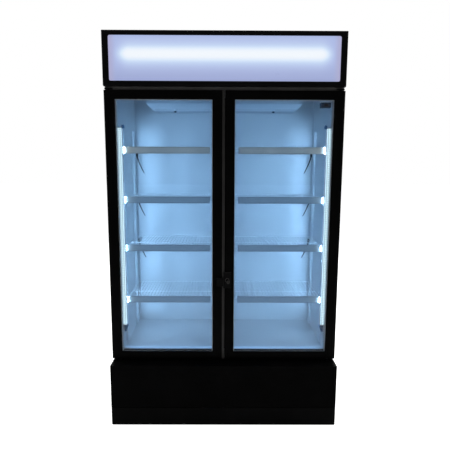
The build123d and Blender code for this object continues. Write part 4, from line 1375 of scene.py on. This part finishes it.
@dataclass
class Cabinet:
    """Insulated body: outer steel, liner, door-opening frame and hinges."""

    floor_drop: float = 10.0 * MM
    cove: float = 6.0 * MM

    def build(self) -> None:
        """Makes the shells, the hinges, the coves and the sill."""
        refine("side_panels", "side_skins", Finish.BODY, 0.4 * MM)
        refine("outer_skin", "rear_and_roof_skins", Finish.BODY, 0.3 * MM)
        refine("liner", "liner_sheets", Finish.LINER, 0.3 * MM)
        refine("front_frame", "opening_frame", Finish.FRAME, 1.0 * MM)
        refine("center_mullion", "mullion_cover", Finish.MULLION, 1.0 * MM)
        refine("hinge_brackets", "hinge_plates", Finish.BODY, 0.5 * MM)
        dress("foam_insulation", Finish.FOAM)
        self.coves()
        self.sill()

    def sill(self) -> None:
        """Rounded lip along the front of the liner floor."""
        box = Space.of("front_frame")
        wall = Space.of("pilasters").x1
        floor = Space.of("pilasters").z0 - self.floor_drop
        lip = ((0, -1), (0, 1), (5, 6.5), (8, 8), (12, 8), (12, 0.2))
        outline = at((box.y0 + 1 * MM, floor), *lip)
        form = Form().prism(Axis.X, outline, 2 * MM - wall, wall - 2 * MM)
        fit(form, "sill_lip", Finish.LINER, edge=0.6 * MM)

    def coves(self) -> None:
        """Rounded fillets along the liner's inner corners."""
        box = Space.of("liner")
        rear = Space.of("evaporator_cover").y1
        floor = Space.of("front_frame")
        side = Space.of("pilasters").x1
        sill = Space.of("pilasters").z0 - self.floor_drop
        bend = self.cove
        arc = [(1 - math.cos(math.radians(a)), 1 - math.sin(math.radians(a))) for a in range(0, 91, 15)]
        form = Form()
        corner = [(side - bend * u, rear - bend * v) for u, v in arc] + [(side, rear)]
        form.prism(Axis.Z, corner, sill + 0.2 * MM, box.z1 - 2 * MM)
        form.mirror()
        along = [(rear - bend * u, sill + bend * v) for u, v in arc] + [(rear, sill)]
        form.prism(Axis.X, along, -side + bend, side - bend)
        low = [(side - bend * u, sill + bend * v) for u, v in arc] + [(side, sill)]
        for way in (-1, 1):
            form.prism(Axis.Y, [(way * a, b) for a, b in low], floor.y1 + 1 * MM, rear - bend)
        fit(form, "liner_coves", Finish.LINER)


@dataclass
class Uprights:
    """Slotted shelf uprights and their clips."""

    pitch: float = 24.5 * MM
    slot_w: float = 4.0 * MM
    slot_h: float = 13.0 * MM
    width: float = 30.0 * MM
    gauge: float = 1.5 * MM
    depth: float = 12.0 * MM
    clip_heel: float = 5.25 * MM

    def build(self) -> None:
        """Makes the side uprights, the centre posts and the clips."""
        box = Space.of("pilasters")
        clips = Space.of("shelf_clips")
        form = Form()
        face = box.x1 - self.depth
        first = clips.z0 + self.clip_heel
        first -= self.pitch * math.floor((first - box.z0 - self.slot_h) / self.pitch)
        count = int((box.z1 - self.slot_h - first) / self.pitch) + 1
        half, slot, t = self.width / 2, self.slot_w / 2, self.gauge
        for y in (box.y0 + half, box.y1 - half):
            for way in (-1, 1):
                outline = [
                    (face, y + way * slot),
                    (face, y + way * half),
                    (box.x1, y + way * half),
                    (box.x1, y + way * (half - t)),
                    (face + t, y + way * (half - t)),
                    (face + t, y + way * slot),
                ]
                form.prism(Axis.Z, outline, box.z0, box.z1)
            low = first + self.slot_h / 2
            rung = Form().block((face, y - slot, low), (face + t, y + slot, low + self.pitch - self.slot_h))
            steps = {"Columns": 1, "Rows": count - 1, "Row_Step": (0.0, 0.0, self.pitch)}
            form.take(GRID.grow(rung, Finish.UPRIGHT, **steps))
            form.block((face, y - slot, box.z0), (face + t, y + slot, first - self.slot_h / 2))
            form.block((face, y - slot, low + (count - 1) * self.pitch), (face + t, y + slot, box.z1))
        fit(form.mirror(), "slotted_uprights", Finish.UPRIGHT, "pilasters")
        refine("center_posts", "centre_uprights", Finish.UPRIGHT, 0.4 * MM)
        refine("shelf_clips", "shelf_hooks", Finish.ZINC, 0.3 * MM)


@dataclass
class Shelves:
    """Dipped wire shelves, their label strips and ties."""

    rod_r: float = 2.5 * MM
    wire_r: float = 1.5 * MM
    pitch: float = 16.0 * MM
    mid_rod: float = 136.7 * MM
    levels: int = 4
    strip_from: float = 70.0 * MM
    strip_h: float = 34.0 * MM
    tie_head: float = 7.0 * MM
    tie_knot: float = 11.0 * MM
    tie_drop: float = 36.0 * MM
    tie_tail: float = 95.0 * MM
    tie_drift: float = 38.0 * MM

    def build(self) -> None:
        """Makes every shelf with its strip, then the ties."""
        for number in range(1, self.levels + 1):
            for side in ("left", "right"):
                self.shelf(side, number)
        self.strips()
        self.ties()

    def shelf(self, side: str, number: int) -> None:
        """One wire shelf.

        Args:
            side: left or right.
            number: 1 is the top one.
        """
        node = f"shelf_{side}_{number}"
        box = Space.of(node)
        r = self.rod_r
        frame_z = box.z0 + r
        run_z = box.z1 - self.wire_r * 0.8
        front, rear = box.y0 + r, box.y1 - r
        form = Form()
        for y in (front, front + self.mid_rod, rear):
            form.rod(Axis.X, (y, frame_z), r, box.x0, box.x1, 12)
        for x in (box.x0 + r, box.x1 - r):
            form.rod(Axis.Y, (x, frame_z), r, front, rear, 12)
        inner = box.x1 - box.x0 - 2 * r
        gaps = round(inner / self.pitch)
        step = inner / gaps
        start, end = box.y0 + 0.8 * MM, box.y1 - 0.6 * MM
        wire = Form().rod(Axis.Y, (box.x0 + r + step, run_z), self.wire_r, start, end, 8)
        steps = {"Columns": gaps - 1, "Column_Step": (step, 0.0, 0.0), "Rows": 1}
        form.take(GRID.grow(wire, Finish.WIRE, **steps))
        fit(form, f"wire_shelf_{side}_{number}", Finish.WIRE, node)

    def strips(self) -> None:
        """Label holders: a channel with rolled lips, and the blank card that it holds."""
        box = Space.of("label_strips")
        holders, cards = Form(), Form()
        for number in range(1, self.levels + 1):
            top = Space.of(f"shelf_right_{number}").z1 + 6 * MM
            foot, head = (box.y0, top - self.strip_h), (box.y0, top)
            outline = at(foot, (0, 1), (0, 3.2), (1, 4.4))
            outline += at(head, (1, -5.2), (0, -4), (0, -0.8), (0.8, 0), (9, 0), (9, -2), (2, -2))
            outline += at(foot, (2, 2), (4.5, 2), (4.5, 0), (1, 0))
            holders.prism(Axis.X, outline, self.strip_from, box.x1)
            card = at(foot, (0.55, 4.6), (0.95, 4.6)) + at(head, (0.95, -5.4), (0.55, -5.4))
            cards.prism(Axis.X, card, self.strip_from + 4 * MM, box.x1 - 4 * MM)
        fit(holders.mirror(), "label_holders", Finish.LABEL, "label_strips", edge=0.25 * MM)
        fit(cards.mirror(), "label_cards", Finish.CARD)

    def ties(self) -> None:
        """Cable ties with locking heads and curled tails."""
        box = Space.of("shelf_ties")
        form = Form()
        head, drop, y = self.tie_head, self.tie_drop, box.y0
        x = box.x1 + 1.5 * MM
        half_knot = self.tie_knot / 2
        for number in range(1, self.levels):
            top = Space.of(f"shelf_right_{number}").z0 + 2.5 * MM + head / 2
            form.block((x - half_knot, y, top - drop), (x + half_knot, y + head, top - drop / 2))
            rows = []
            for n in range(9):
                share = n / 8
                middle = x - self.tie_drift * share ** 1.3
                z = top - drop + 2 * MM - self.tie_tail * share
                half = 4.0 * MM * (1 - 0.35 * share)
                rows.append([Vector((middle + way * half, y + head / 2, z)) for way in (-1, 1)])
            form.plate(rows, Vector((0.0, 1.2 * MM, 0.0)))
        fit(form.mirror(), "tie_straps", Finish.CLIP, "shelf_ties", edge=0.3 * MM)


@dataclass
class LightStrips:
    """Upright light strips inside the door opening, and the switch over them."""

    lift: float = 14.5 * MM
    ahead: float = 4.0 * MM
    reach: float = 17.5 * MM
    rim: float = 0.8 * MM

    def build(self) -> None:
        """Makes the channels, the lenses, the plugs and the switch."""
        refine("led_bases", "light_channels", Finish.GALVANISED, 0.3 * MM)
        self.lenses()
        self.top_plug()
        self.plugs()
        refine("light_switch_box", "switch_case", Finish.SWITCH, 1.0 * MM)
        refine("light_switch_rocker", "switch_rocker", Finish.CLIP, 0.5 * MM)

    def lenses(self) -> None:
        """Half-round lenses over the chips, with their end plates."""
        base = Space.of("led_lenses")
        caps = Space.of("led_end_caps")
        root, reach = base.x1 + 4 * MM, self.reach
        y0, y1 = base.y0 - self.ahead, base.y1 - self.ahead
        mid, half = (y0 + y1) / 2, (y1 - y0) / 2
        arc = [math.radians(a) for a in range(-90, 91, 15)]
        curve = [(root - reach * (0.35 + 0.65 * math.cos(a)), mid + half * math.sin(a)) for a in arc]
        outline = [(root, y0), *curve, (root, y1)]
        foot = caps.z0 + self.lift
        low, high = foot + 4 * MM, caps.z1 - 2 * MM
        form = Form().prism(Axis.Z, outline, low, high).mirror()
        fit(form, "light_lenses", Finish.LENS, "led_lenses")
        ends = Form()
        rim = self.rim
        bow = [(x - rim, mid + (y - mid) * 1.1) for x, y in curve]
        wide = [(root, y0 - rim), *bow, (root, y1 + rim)]
        ends.prism(Axis.Z, wide, foot, low - 0.2 * MM)
        ends.prism(Axis.Z, wide, high + 0.2 * MM, caps.z1)
        fit(ends.mirror(), "light_end_plates", Finish.SOCKET, "led_end_caps", edge=0.5 * MM)

    def top_plug(self) -> None:
        """Cable plug beside the head of each strip."""
        box = Space.of("led_end_caps")
        x, y = box.x1 - 20 * MM, (box.y0 + box.y1) / 2
        profile = ((0, 0), (5.5, 0), (7.5, 2), (7.5, 13), (6, 15), (5, 18), (0, 18))
        form = Form().lathe(Axis.Z, (x, y), at((0.0, box.z1 - 4 * MM), *profile), 20)
        fit(form.mirror(), "light_top_plugs", Finish.PLUG)

    def plugs(self) -> None:
        """Tapered plugs that feed the strips from below."""
        box = Space.of("led_end_caps")
        wall, mid = box.x1, (box.y0 + box.y1) / 2
        form, rings = Form(), []
        for drop, reach, half in ((0.0, 20.0, 9.5), (9.0, 19.0, 9.0), (25.0, 13.0, 7.0), (36.0, 9.0, 4.5)):
            near, wide, z = wall - reach * MM, half * MM, box.z0 + self.lift - drop * MM
            corners = ((near, -wide), (wall, -wide), (wall, wide), (near, wide))
            rings.append(form.ring(Vector((x, mid + y, z)) for x, y in corners))
        for one, two in zip(rings, rings[1:]):
            form.bridge(one, two)
        form.bm.faces.new(rings[0])
        form.bm.faces.new(rings[-1])
        fit(form.mirror(), "light_plugs", Finish.PLUG, edge=1.0 * MM)


def fan_blades(
    centre: Vector, tip: float, hub: float, chord: float, count: int, finish: Finish, depth: float
) -> Form:
    """Cupped blades round a domed hub, on an axis along Y.

    Args:
        centre: middle of the fan.
        tip: radius to the blade tips.
        hub: radius of the hub.
        chord: width of a blade.
        count: number of blades.
        finish: what it is made of.
        depth: depth of the hub.

    Returns:
        The rotor's form.
    """
    rows = []
    for n in range(7):
        share = n / 6
        radius = hub * 0.85 + (tip - hub * 0.85) * share
        pitch = math.radians(38 - 16 * share)
        wide = chord * (0.62 + 0.38 * math.sin(math.pi * min(1.0, share * 0.9 + 0.1)))
        row = []
        for m in range(7):
            across = (m / 6 - 0.5) * wide
            sweep = across * math.cos(pitch) / radius + 0.12 * share
            cup = -0.05 * chord * math.cos(math.pi * (m / 6 - 0.5))
            y = across * math.sin(pitch) + cup
            row.append(Vector((radius * math.cos(sweep), y, radius * math.sin(sweep))))
        rows.append(row)
    blade = Form().plate(rows, Vector((0.0, 1.6 * MM, 0.0)))
    values = {"Count": count, "Centre": tuple(centre), "Axis": (0.0, 1.0, 0.0)}
    form = Form().take(CIRCLE.grow(blade, finish, **values))
    near, far = centre.y - depth / 2, centre.y + depth / 2
    dome = [
        (0.0, near),
        (hub * 0.6, near + depth * 0.04),
        (hub * 0.88, near + depth * 0.16),
        (hub, near + depth * 0.4),
        (hub, far),
        (hub * 0.9, far),
        (hub * 0.9, far - depth * 0.3),
        (0.0, far - depth * 0.3),
    ]
    return form.lathe(Axis.Y, (centre.x, centre.z), dome, 28)


def finned_coil(box: Space, pitch: float, rows: int, levels: int) -> Form:
    """Thin upright fins crossed by tubes with return bends.

    Args:
        box: space that the coil fills.
        pitch: distance between fins.
        rows: tubes from front to back.
        levels: tubes from bottom to top.

    Returns:
        The fins.
    """
    wide = box.x1 - box.x0
    count = int((wide - 2 * MM) / pitch)
    fin = Form().block((box.x0, box.y0, box.z0), (box.x0 + 0.35 * MM, box.y1, box.z1))
    step = (wide - 0.4 * MM) / (count - 1)
    steps = {"Columns": count, "Column_Step": (step, 0.0, 0.0), "Rows": 1}
    form = Form().take(GRID.grow(fin, Finish.FIN, **steps))
    deep, high = (box.y1 - box.y0) / rows, (box.z1 - box.z0) / levels
    for row in range(rows):
        for level in range(levels):
            centre = (box.y0 + (row + 0.5) * deep, box.z0 + (level + 0.5) * high)
            form.rod(Axis.X, centre, 4.2 * MM, box.x0 + 0.1 * MM, box.x1 - 0.1 * MM, 10)
    return form


@dataclass
class Evaporator:
    """Ceiling tray with its two fans, coil and knobs."""

    guard_rings: int = 5
    opening_r: float = 80.0 * MM

    def build(self) -> None:
        """Makes the tray, the fans, the guards, the coil and the knobs."""
        refine("evaporator_cover", "evaporator_tray", Finish.COVER, 0.6 * MM)
        refine("evap_fan_motors", "evaporator_motors", Finish.CLIP, 1.5 * MM)
        coil = finned_coil(Space.of("evaporator_coil"), 5 * MM, 3, 5)
        fit(coil, "evaporator_fins", Finish.FIN, "evaporator_coil")
        for side in ("left", "right"):
            box = Space.of(f"evap_fan_{side}")
            form = fan_blades(box.middle, 75 * MM, 20 * MM, 58 * MM, 5, Finish.FAN, box.y1 - box.y0)
            name, body = f"evaporator_rotor_{side}", f"evaporator_fan_{side}"
            fit(form, name, Finish.FAN, f"evap_fan_{side}", body=body)
            self.guard(side, box.middle)
        self.knobs()

    def guard(self, side: str, centre: Vector) -> None:
        """Wire guard over one fan opening: rings on four spokes."""
        tray = Space.of("evaporator_cover")
        y = tray.y0 - 2.0 * MM
        form = Form()
        for n in range(self.guard_rings):
            radius = self.opening_r * (0.22 + 0.83 * n / (self.guard_rings - 1))
            turns = [math.tau * k / 6 for k in range(6)]
            wire = [(radius + 1.1 * MM * math.cos(t), y + 1.1 * MM * math.sin(t)) for t in turns]
            form.lathe(Axis.Y, (centre.x, centre.z), wire, 36, hollow=True)
        spoke = Form().rod(Axis.X, (0.0, 0.0), 1.4 * MM, 0.15 * self.opening_r, 1.12 * self.opening_r, 8)
        values = {"Count": 4, "Centre": (centre.x, y + 1.6 * MM, centre.z), "Axis": (0.0, 1.0, 0.0)}
        form.take(CIRCLE.grow(spoke, Finish.CLIP, **values))
        fit(form, f"evaporator_guard_{side}", Finish.CLIP)

    def knobs(self) -> None:
        """Thumb knobs that hold the tray, each with a dark screw in its middle."""
        box = Space.of("cover_knobs")
        y, radius = box.middle.y, (box.y1 - box.y0) / 2
        x = box.x1 - radius
        top, low = box.z1, box.z0
        upper = ((0.0, 0.0), (1.0, 0.0), (1.0, -2.4), (0.9, -4.0), (0.72, -4.6))
        lower = ((0.68, 1.5), (0.60, 0.4), (0.48, 0.4), (0.46, 1.8), (0.0, 1.8))
        profile = [(radius * share, top + z * MM) for share, z in upper]
        profile += [(radius * share, low + z * MM) for share, z in lower]
        knobs = Form().lathe(Axis.Z, (x, y), profile, 28).mirror()
        fit(knobs, "tray_knobs", Finish.SOCKET, "cover_knobs")
        pins = Form().rod(Axis.Z, (x, y), radius * 0.46, low - 8 * MM, low + 3 * MM, 14).mirror()
        fit(pins, "tray_knob_screws", Finish.SWITCH, edge=1.0 * MM)


@dataclass
class Base:
    """Front cover, plinth, tray, feet and the rear of the machine room."""

    rear_set: float = 1.5 * MM
    foot_in: float = 23.0 * MM
    foot_from_end: float = 20.0 * MM
    louvre_columns: int = 4
    louvre_rows: int = 4
    louvre_gap: float = 40.0 * MM
    louvre_h: float = 12.0 * MM
    louvre_pitch: float = 40.0 * MM
    hood: float = 11.0 * MM
    screw_inset: float = 14.0 * MM
    screw_columns: int = 6

    def build(self) -> None:
        """Makes the covers, the feet, the rear grille and the inlet."""
        refine("base_cover", "base_front_cover", Finish.BASE, 0.5 * MM)
        refine("plinth_panel", "plinth_kickboard", Finish.PLINTH, 0.6 * MM)
        refine("base_tray", "machine_tray", Finish.GALVANISED, 0.5 * MM)
        self.feet()
        self.rear()
        refine("power_inlet", "inlet_socket", Finish.INLET, 0.6 * MM)

    def feet(self) -> None:
        """Levelling feet: a rubber-edged pad, a hexagon and a threaded stem."""
        box = Space.of("levelling_feet")
        ground = (0.0, box.z0)
        pad = ((0, 0), (17, 0), (19.4, 0.8), (20, 2.4), (20, 5), (17, 8), (9, 10), (0, 10))
        nut = ((0, 10), (10, 10), (11, 11), (11, 18), (10, 19), (0, 19))
        levels = [19.2 + 2.0 * n for n in range(10)]
        thread = [(0, 19)] + [spot for z in levels for spot in ((5.2, z), (6.0, z + 0.9))]
        stem = at(ground, *thread) + at((0.0, box.z1), (5.2, -0.2), (0, -0.1))
        x = box.x1 - self.foot_in
        form = Form()
        for y in (box.y0 + self.foot_from_end, box.y1 - self.foot_from_end):
            for profile, sides in ((at(ground, *pad), 28), (at(ground, *nut), 6), (stem, 16)):
                form.lathe(Axis.Z, (x, y), profile, sides)
        fit(form.mirror(), "threaded_feet", Finish.ZINC, "levelling_feet")

    def rear(self) -> None:
        """Rear panel of the machine room with pressed louvres and screws."""
        box = Space.of("rear_grille")
        panel = solid_of("rear_grille", (0.0, -self.rear_set, 0.0))
        fit(panel, "rear_louvre_panel", Finish.BODY, "rear_grille", edge=0.3 * MM)
        inlet = Space.of("power_inlet")
        columns, levels, deep = self.louvre_columns, self.louvre_rows, self.hood
        bar, tall, pitch = self.louvre_gap, self.louvre_h, self.louvre_pitch
        wide = (box.x1 - box.x0 - (columns + 1) * bar) / columns
        x0 = -(columns - 1) / 2 * (wide + bar) - wide / 2
        z0 = (inlet.z1 + box.z1) / 2 - (levels - 1) / 2 * pitch - tall / 2
        y = box.y0 - self.rear_set
        top = z0 + tall - 1 * MM
        turns = [math.radians(15 * n) for n in range(7)]
        curve = [(y - deep * (1 - math.cos(t)), top - deep * math.sin(t)) for t in turns]
        rows = [[Vector((x, *spot)) for spot in curve] for x in (x0 - 2 * MM, x0 + wide + 2 * MM)]
        hood = Form().plate(rows, Vector((0.0, -0.8 * MM, 0.0)))
        steps = {
            "Columns": columns,
            "Column_Step": (wide + bar, 0.0, 0.0),
            "Rows": levels,
            "Row_Step": (0.0, 0.0, pitch),
        }
        form = Form().take(GRID.grow(hood, Finish.BODY, **steps))
        fit(form, "rear_louvre_hoods", Finish.BODY)
        seat = box.y1 - self.rear_set
        inset = self.screw_inset
        head = screw(Axis.Y, (box.x0 + inset, box.z0 + inset), seat, 1.0, 2.7 * MM)
        step = (box.x1 - box.x0 - 2 * inset) / (self.screw_columns - 1)
        steps = {
            "Columns": self.screw_columns,
            "Column_Step": (step, 0.0, 0.0),
            "Rows": 2,
            "Row_Step": (0.0, 0.0, box.z1 - box.z0 - 2 * inset),
        }
        fit(Form().take(GRID.grow(head, Finish.ZINC, **steps)), "rear_panel_screws", Finish.ZINC)


@dataclass
class CondensingUnit:
    """Compressor, condenser, its fan and the copper lines."""

    shell_r: float = 82.5 * MM
    line_r: float = 4.0 * MM
    dome: float = 48.0 * MM

    def build(self) -> None:
        """Makes every piece in the machine room."""
        self.compressor()
        coil = finned_coil(Space.of("condenser"), 4 * MM, 2, 7)
        fit(coil, "condenser_fins", Finish.FIN, "condenser")
        refine("condenser_shroud", "condenser_cowl", Finish.GALVANISED, 0.4 * MM)
        refine("condenser_fan_motor", "condenser_motor", Finish.ZINC, 3.0 * MM)
        box = Space.of("condenser_fan")
        form = fan_blades(box.middle, 86 * MM, 24 * MM, 66 * MM, 5, Finish.FAN, box.y1 - box.y0)
        fit(form, "condenser_rotor_blades", Finish.FAN, "condenser_fan", body="condenser_rotor")
        self.lines()

    def compressor(self) -> None:
        """Drawn shell with a weld seam, on its foot plate, with the terminal box."""
        box = Space.of("compressor")
        radius, x = self.shell_r, box.middle.x
        y = box.y0 + radius
        z0, z1 = box.z0, box.z1
        bottom, shoulder, seam = z0 + 13 * MM, z1 - self.dome, z0 + 78 * MM
        profile = [(0.0, bottom)]
        for n in range(1, 7):
            turn = math.radians(15 * n)
            spread = 0.7 + 0.29 * math.sin(turn)
            profile.append((radius * spread, bottom + 16 * MM * (1 - math.cos(turn))))
        ring = ((0.99, -4), (1.0, -3), (1.0, 3), (0.96, 4))
        profile += [(radius * share, seam + z * MM) for share, z in ring]
        profile.append((radius * 0.95, shoulder))
        for n in range(1, 7):
            turn = math.radians(90 / 7 * n)
            profile.append((radius * 0.95 * math.cos(turn), shoulder + self.dome * math.sin(turn)))
        profile.append((0.0, z1))
        form = Form().lathe(Axis.Z, (x, y), profile, 40)
        foot = Rect(box.x0, box.x1, y - 74 * MM, y + 74 * MM, 18 * MM)
        form.prism(Axis.Z, foot.outline(), z0, z0 + 3 * MM)
        low = (x - 30 * MM, y + radius - 12 * MM, z0 + 60 * MM)
        form.block(low, (x + 30 * MM, box.y1, z0 + 130 * MM))
        fit(form, "compressor_shell", Finish.ENAMEL, "compressor", edge=0.8 * MM)

    def lines(self) -> None:
        """Copper lines from the shell to the condenser and up to the deck."""
        box = Space.of("refrigerant_lines")
        shell = Space.of("compressor")
        coil = Space.of("condenser")
        x, y = shell.middle.x, shell.y0
        z = (coil.z0 + coil.z1) / 2 + 20 * MM
        turn_y = (coil.y0 + coil.y1) / 2
        bend = 60 * MM
        plan = ((x, y), (x, turn_y + bend), (x, turn_y), (x - bend, turn_y), (coil.x1, turn_y))
        form = Form().pipe([(*spot, z) for spot in plan], self.line_r)
        form.rod(Axis.Z, (x, y + self.shell_r), self.line_r, shell.z1 - 1 * MM, box.z1, 14)
        fit(form, "copper_lines", Finish.COPPER, "refrigerant_lines")


@dataclass
class Studio:
    """Pale floor, soft lights and the camera."""

    eye: Point = (-0.0068, -2.680, 1.3123)
    pitch: float = 9.43
    yaw: float = -0.27
    roll: float = 0.23
    lens: float = 39.97
    sensor: float = 36.0
    rise: float = 0.0489
    floor_size: float = 60.0
    wash: float = 1.62
    beam: float = 0.34
    room: float = 0.88
    sill: float = 0.06
    fade: float = 0.07
    sky_light: float = 0.12
    cool: Colour = (0.35, 0.62, 0.95)
    dim: Colour = (0.31, 0.665, 1.22)

    def build(self) -> None:
        """Sets the whole studio."""
        self.camera()
        self.floor()
        self.sky()
        around = (
            ("lamp_top", (0.0, -0.6, 5.0), 0.0, (4.0, 4.0), 60.0),
            ("lamp_left", (-4.5, 0.5, 2.4), 0.9, (2.0, 4.0), 130.0),
            ("lamp_right", (4.5, 0.5, 2.4), 0.9, (2.0, 4.0), 130.0),
            ("lamp_rear", (0.0, 5.0, 2.6), 0.9, (4.0, 3.0), 160.0),
        )
        for name, spot, height, size, watts in around:
            self.lamp(name, spot, (0.0, 0.0, height), size, watts)
        self.strips()
        bpy.context.scene.view_settings.view_transform = "Standard"
        log.info("studio ready")

    def camera(self) -> None:
        """Sets the camera at the viewing angle."""
        pitch, yaw, roll = (math.radians(a) for a in (self.pitch, self.yaw, self.roll))
        right = Vector((math.cos(yaw), math.sin(yaw), 0.0))
        ahead = Vector((-math.sin(yaw) * math.cos(pitch), math.cos(yaw) * math.cos(pitch), -math.sin(pitch)))
        up = right.cross(ahead)
        tilted_right = math.cos(roll) * right + math.sin(roll) * up
        tilted_up = -math.sin(roll) * right + math.cos(roll) * up
        basis = Matrix((tilted_right, tilted_up, -ahead)).transposed()
        data = bpy.data.cameras.new("camera")
        data.lens = self.lens
        data.sensor_width = self.sensor
        data.shift_y = self.rise
        data.clip_end = 200.0
        camera = bpy.data.objects.new("camera", data)
        camera.matrix_world = Matrix.Translation(self.eye) @ basis.to_4x4()
        bpy.context.scene.collection.objects.link(camera)
        bpy.context.scene.camera = camera

    def floor(self) -> None:
        """Lays the pale floor, which melts into the pale surroundings."""
        half = self.floor_size / 2
        form = Form()
        corners = ((-half, -half), (half, -half), (half, half), (-half, half))
        form.bm.faces.new(form.ring(Vector((x, y, 0.0)) for x, y in corners))
        floor = form.to_object("floor")
        g = Graph("pale_floor")
        seen = g.node("ShaderNodeLightPath", output="Is Camera Ray")
        matt = g.node("ShaderNodeBsdfDiffuse", inputs={"Color": (0.8, 0.8, 0.8, 1.0)})
        glow = g.node("ShaderNodeEmission", inputs={"Color": (1.0, 1.0, 1.0, 1.0), "Strength": seen * 0.99})
        paint(floor, g.end(g.node("ShaderNodeAddShader", inputs={0: matt, 1: glow})))

    def lamp(
        self,
        name: str,
        spot: Point,
        aim: Point,
        size: tuple[float, float],
        watts: float,
        colour: Colour = (1.0, 1.0, 1.0),
        spread: float = 180.0,
    ) -> bpy.types.Object:
        """Hangs one soft lamp.

        Args:
            name: the lamp's name.
            spot: where it hangs.
            aim: the point it faces.
            size: its width and height.
            watts: its power.
            colour: its colour.
            spread: angle of its beam in degrees.

        Returns:
            The lamp.
        """
        data = bpy.data.lights.new(name, "AREA")
        data.shape = "RECTANGLE"
        data.size, data.size_y = size
        data.energy = watts
        data.color = colour
        data.spread = math.radians(spread)
        lamp = bpy.data.objects.new(name, data)
        lamp.location = spot
        lamp.rotation_euler = (Vector(aim) - Vector(spot)).to_track_quat("-Z", "Y").to_euler()
        bpy.context.scene.collection.objects.link(lamp)
        return lamp

    def strips(self) -> None:
        """Hangs the hidden lamps beside the light strips, behind the door glass and over the sill."""
        box = Space.of("led_end_caps")
        opening = Space.of("front_frame")
        floor = Space.of("pilasters").z0
        low, high = floor + 50 * MM, box.z1 + 30 * MM
        z = (high + low) / 2
        y = Space.of("label_strips").y0 - 3 * MM
        slim = (6 * MM, high - low)
        half = box.x1 / 2
        pane = (2 * half - 60 * MM, opening.z1 - opening.z0 - 60 * MM)
        lamps = []
        for side in (-1, 1):
            near = (side * (box.x1 - 11 * MM), y, z)
            ahead = (side * (box.x1 - 12 * MM), y - 11 * MM, z)
            door = (side * half, opening.y0 - 7 * MM, (opening.z0 + opening.z1) / 2)
            plans = (
                ("strip_wash", near, (-0.8, 1.0), slim, self.wash, self.cool, 90),
                ("strip_beam", near, (-0.06, 0.45), slim, self.beam, self.cool, 28),
                ("strip_fade", ahead, (-1.0, 0.6), slim, self.fade, self.cool, 120),
                ("door_light", door, (0.0, 1.0 - door[1]), pane, self.room, self.dim, 180),
            )
            for name, spot, (aside, deep), *rest in plans:
                aim = (spot[0] + side * aside, spot[1] + deep, spot[2])
                lamps.append(self.lamp(f"{name}_{side}", spot, aim, *rest))
        front = opening.y0 + 6 * MM
        size = (2 * box.x1, 8 * MM)
        spot = (0.0, front, floor + 14 * MM)
        lamps.append(self.lamp("sill_light", spot, (0.0, front, 0.0), size, self.sill, self.dim))
        for lamp in lamps:
            lamp.visible_camera = False
            lamp.visible_glossy = False

    def sky(self) -> None:
        """Pale surroundings, dimmer as a light than as a background."""
        world = bpy.data.worlds.new("studio")
        world.use_nodes = True
        bpy.context.scene.world = world
        tree = world.node_tree
        tree.nodes["Background"].inputs["Color"].default_value = (1.0, 1.0, 1.0, 1.0)
        path = tree.nodes.new("ShaderNodeLightPath")
        level = tree.nodes.new("ShaderNodeMapRange")
        level.inputs["To Min"].default_value = self.sky_light
        tree.links.new(path.outputs["Is Camera Ray"], level.inputs["Value"])
        tree.links.new(level.outputs["Result"], tree.nodes["Background"].inputs["Strength"])


def main() -> None:
    """Builds every sub-assembly in order."""
    logging.basicConfig(level=logging.INFO, format="%(name)s: %(message)s")
    Studio().build()
    sub_assemblies = (
        Canopy(),
        Door("left", -3.0 * MM),
        Door("right", 4.8 * MM),
        MeetingEdge(),
        Cabinet(),
        Uprights(),
        Shelves(),
        LightStrips(),
        Evaporator(),
        Base(),
        CondensingUnit(),
    )
    for part in sub_assemblies:
        part.build()
        log.info("%s done", type(part).__name__)


if __name__ == "__main__":
    main()
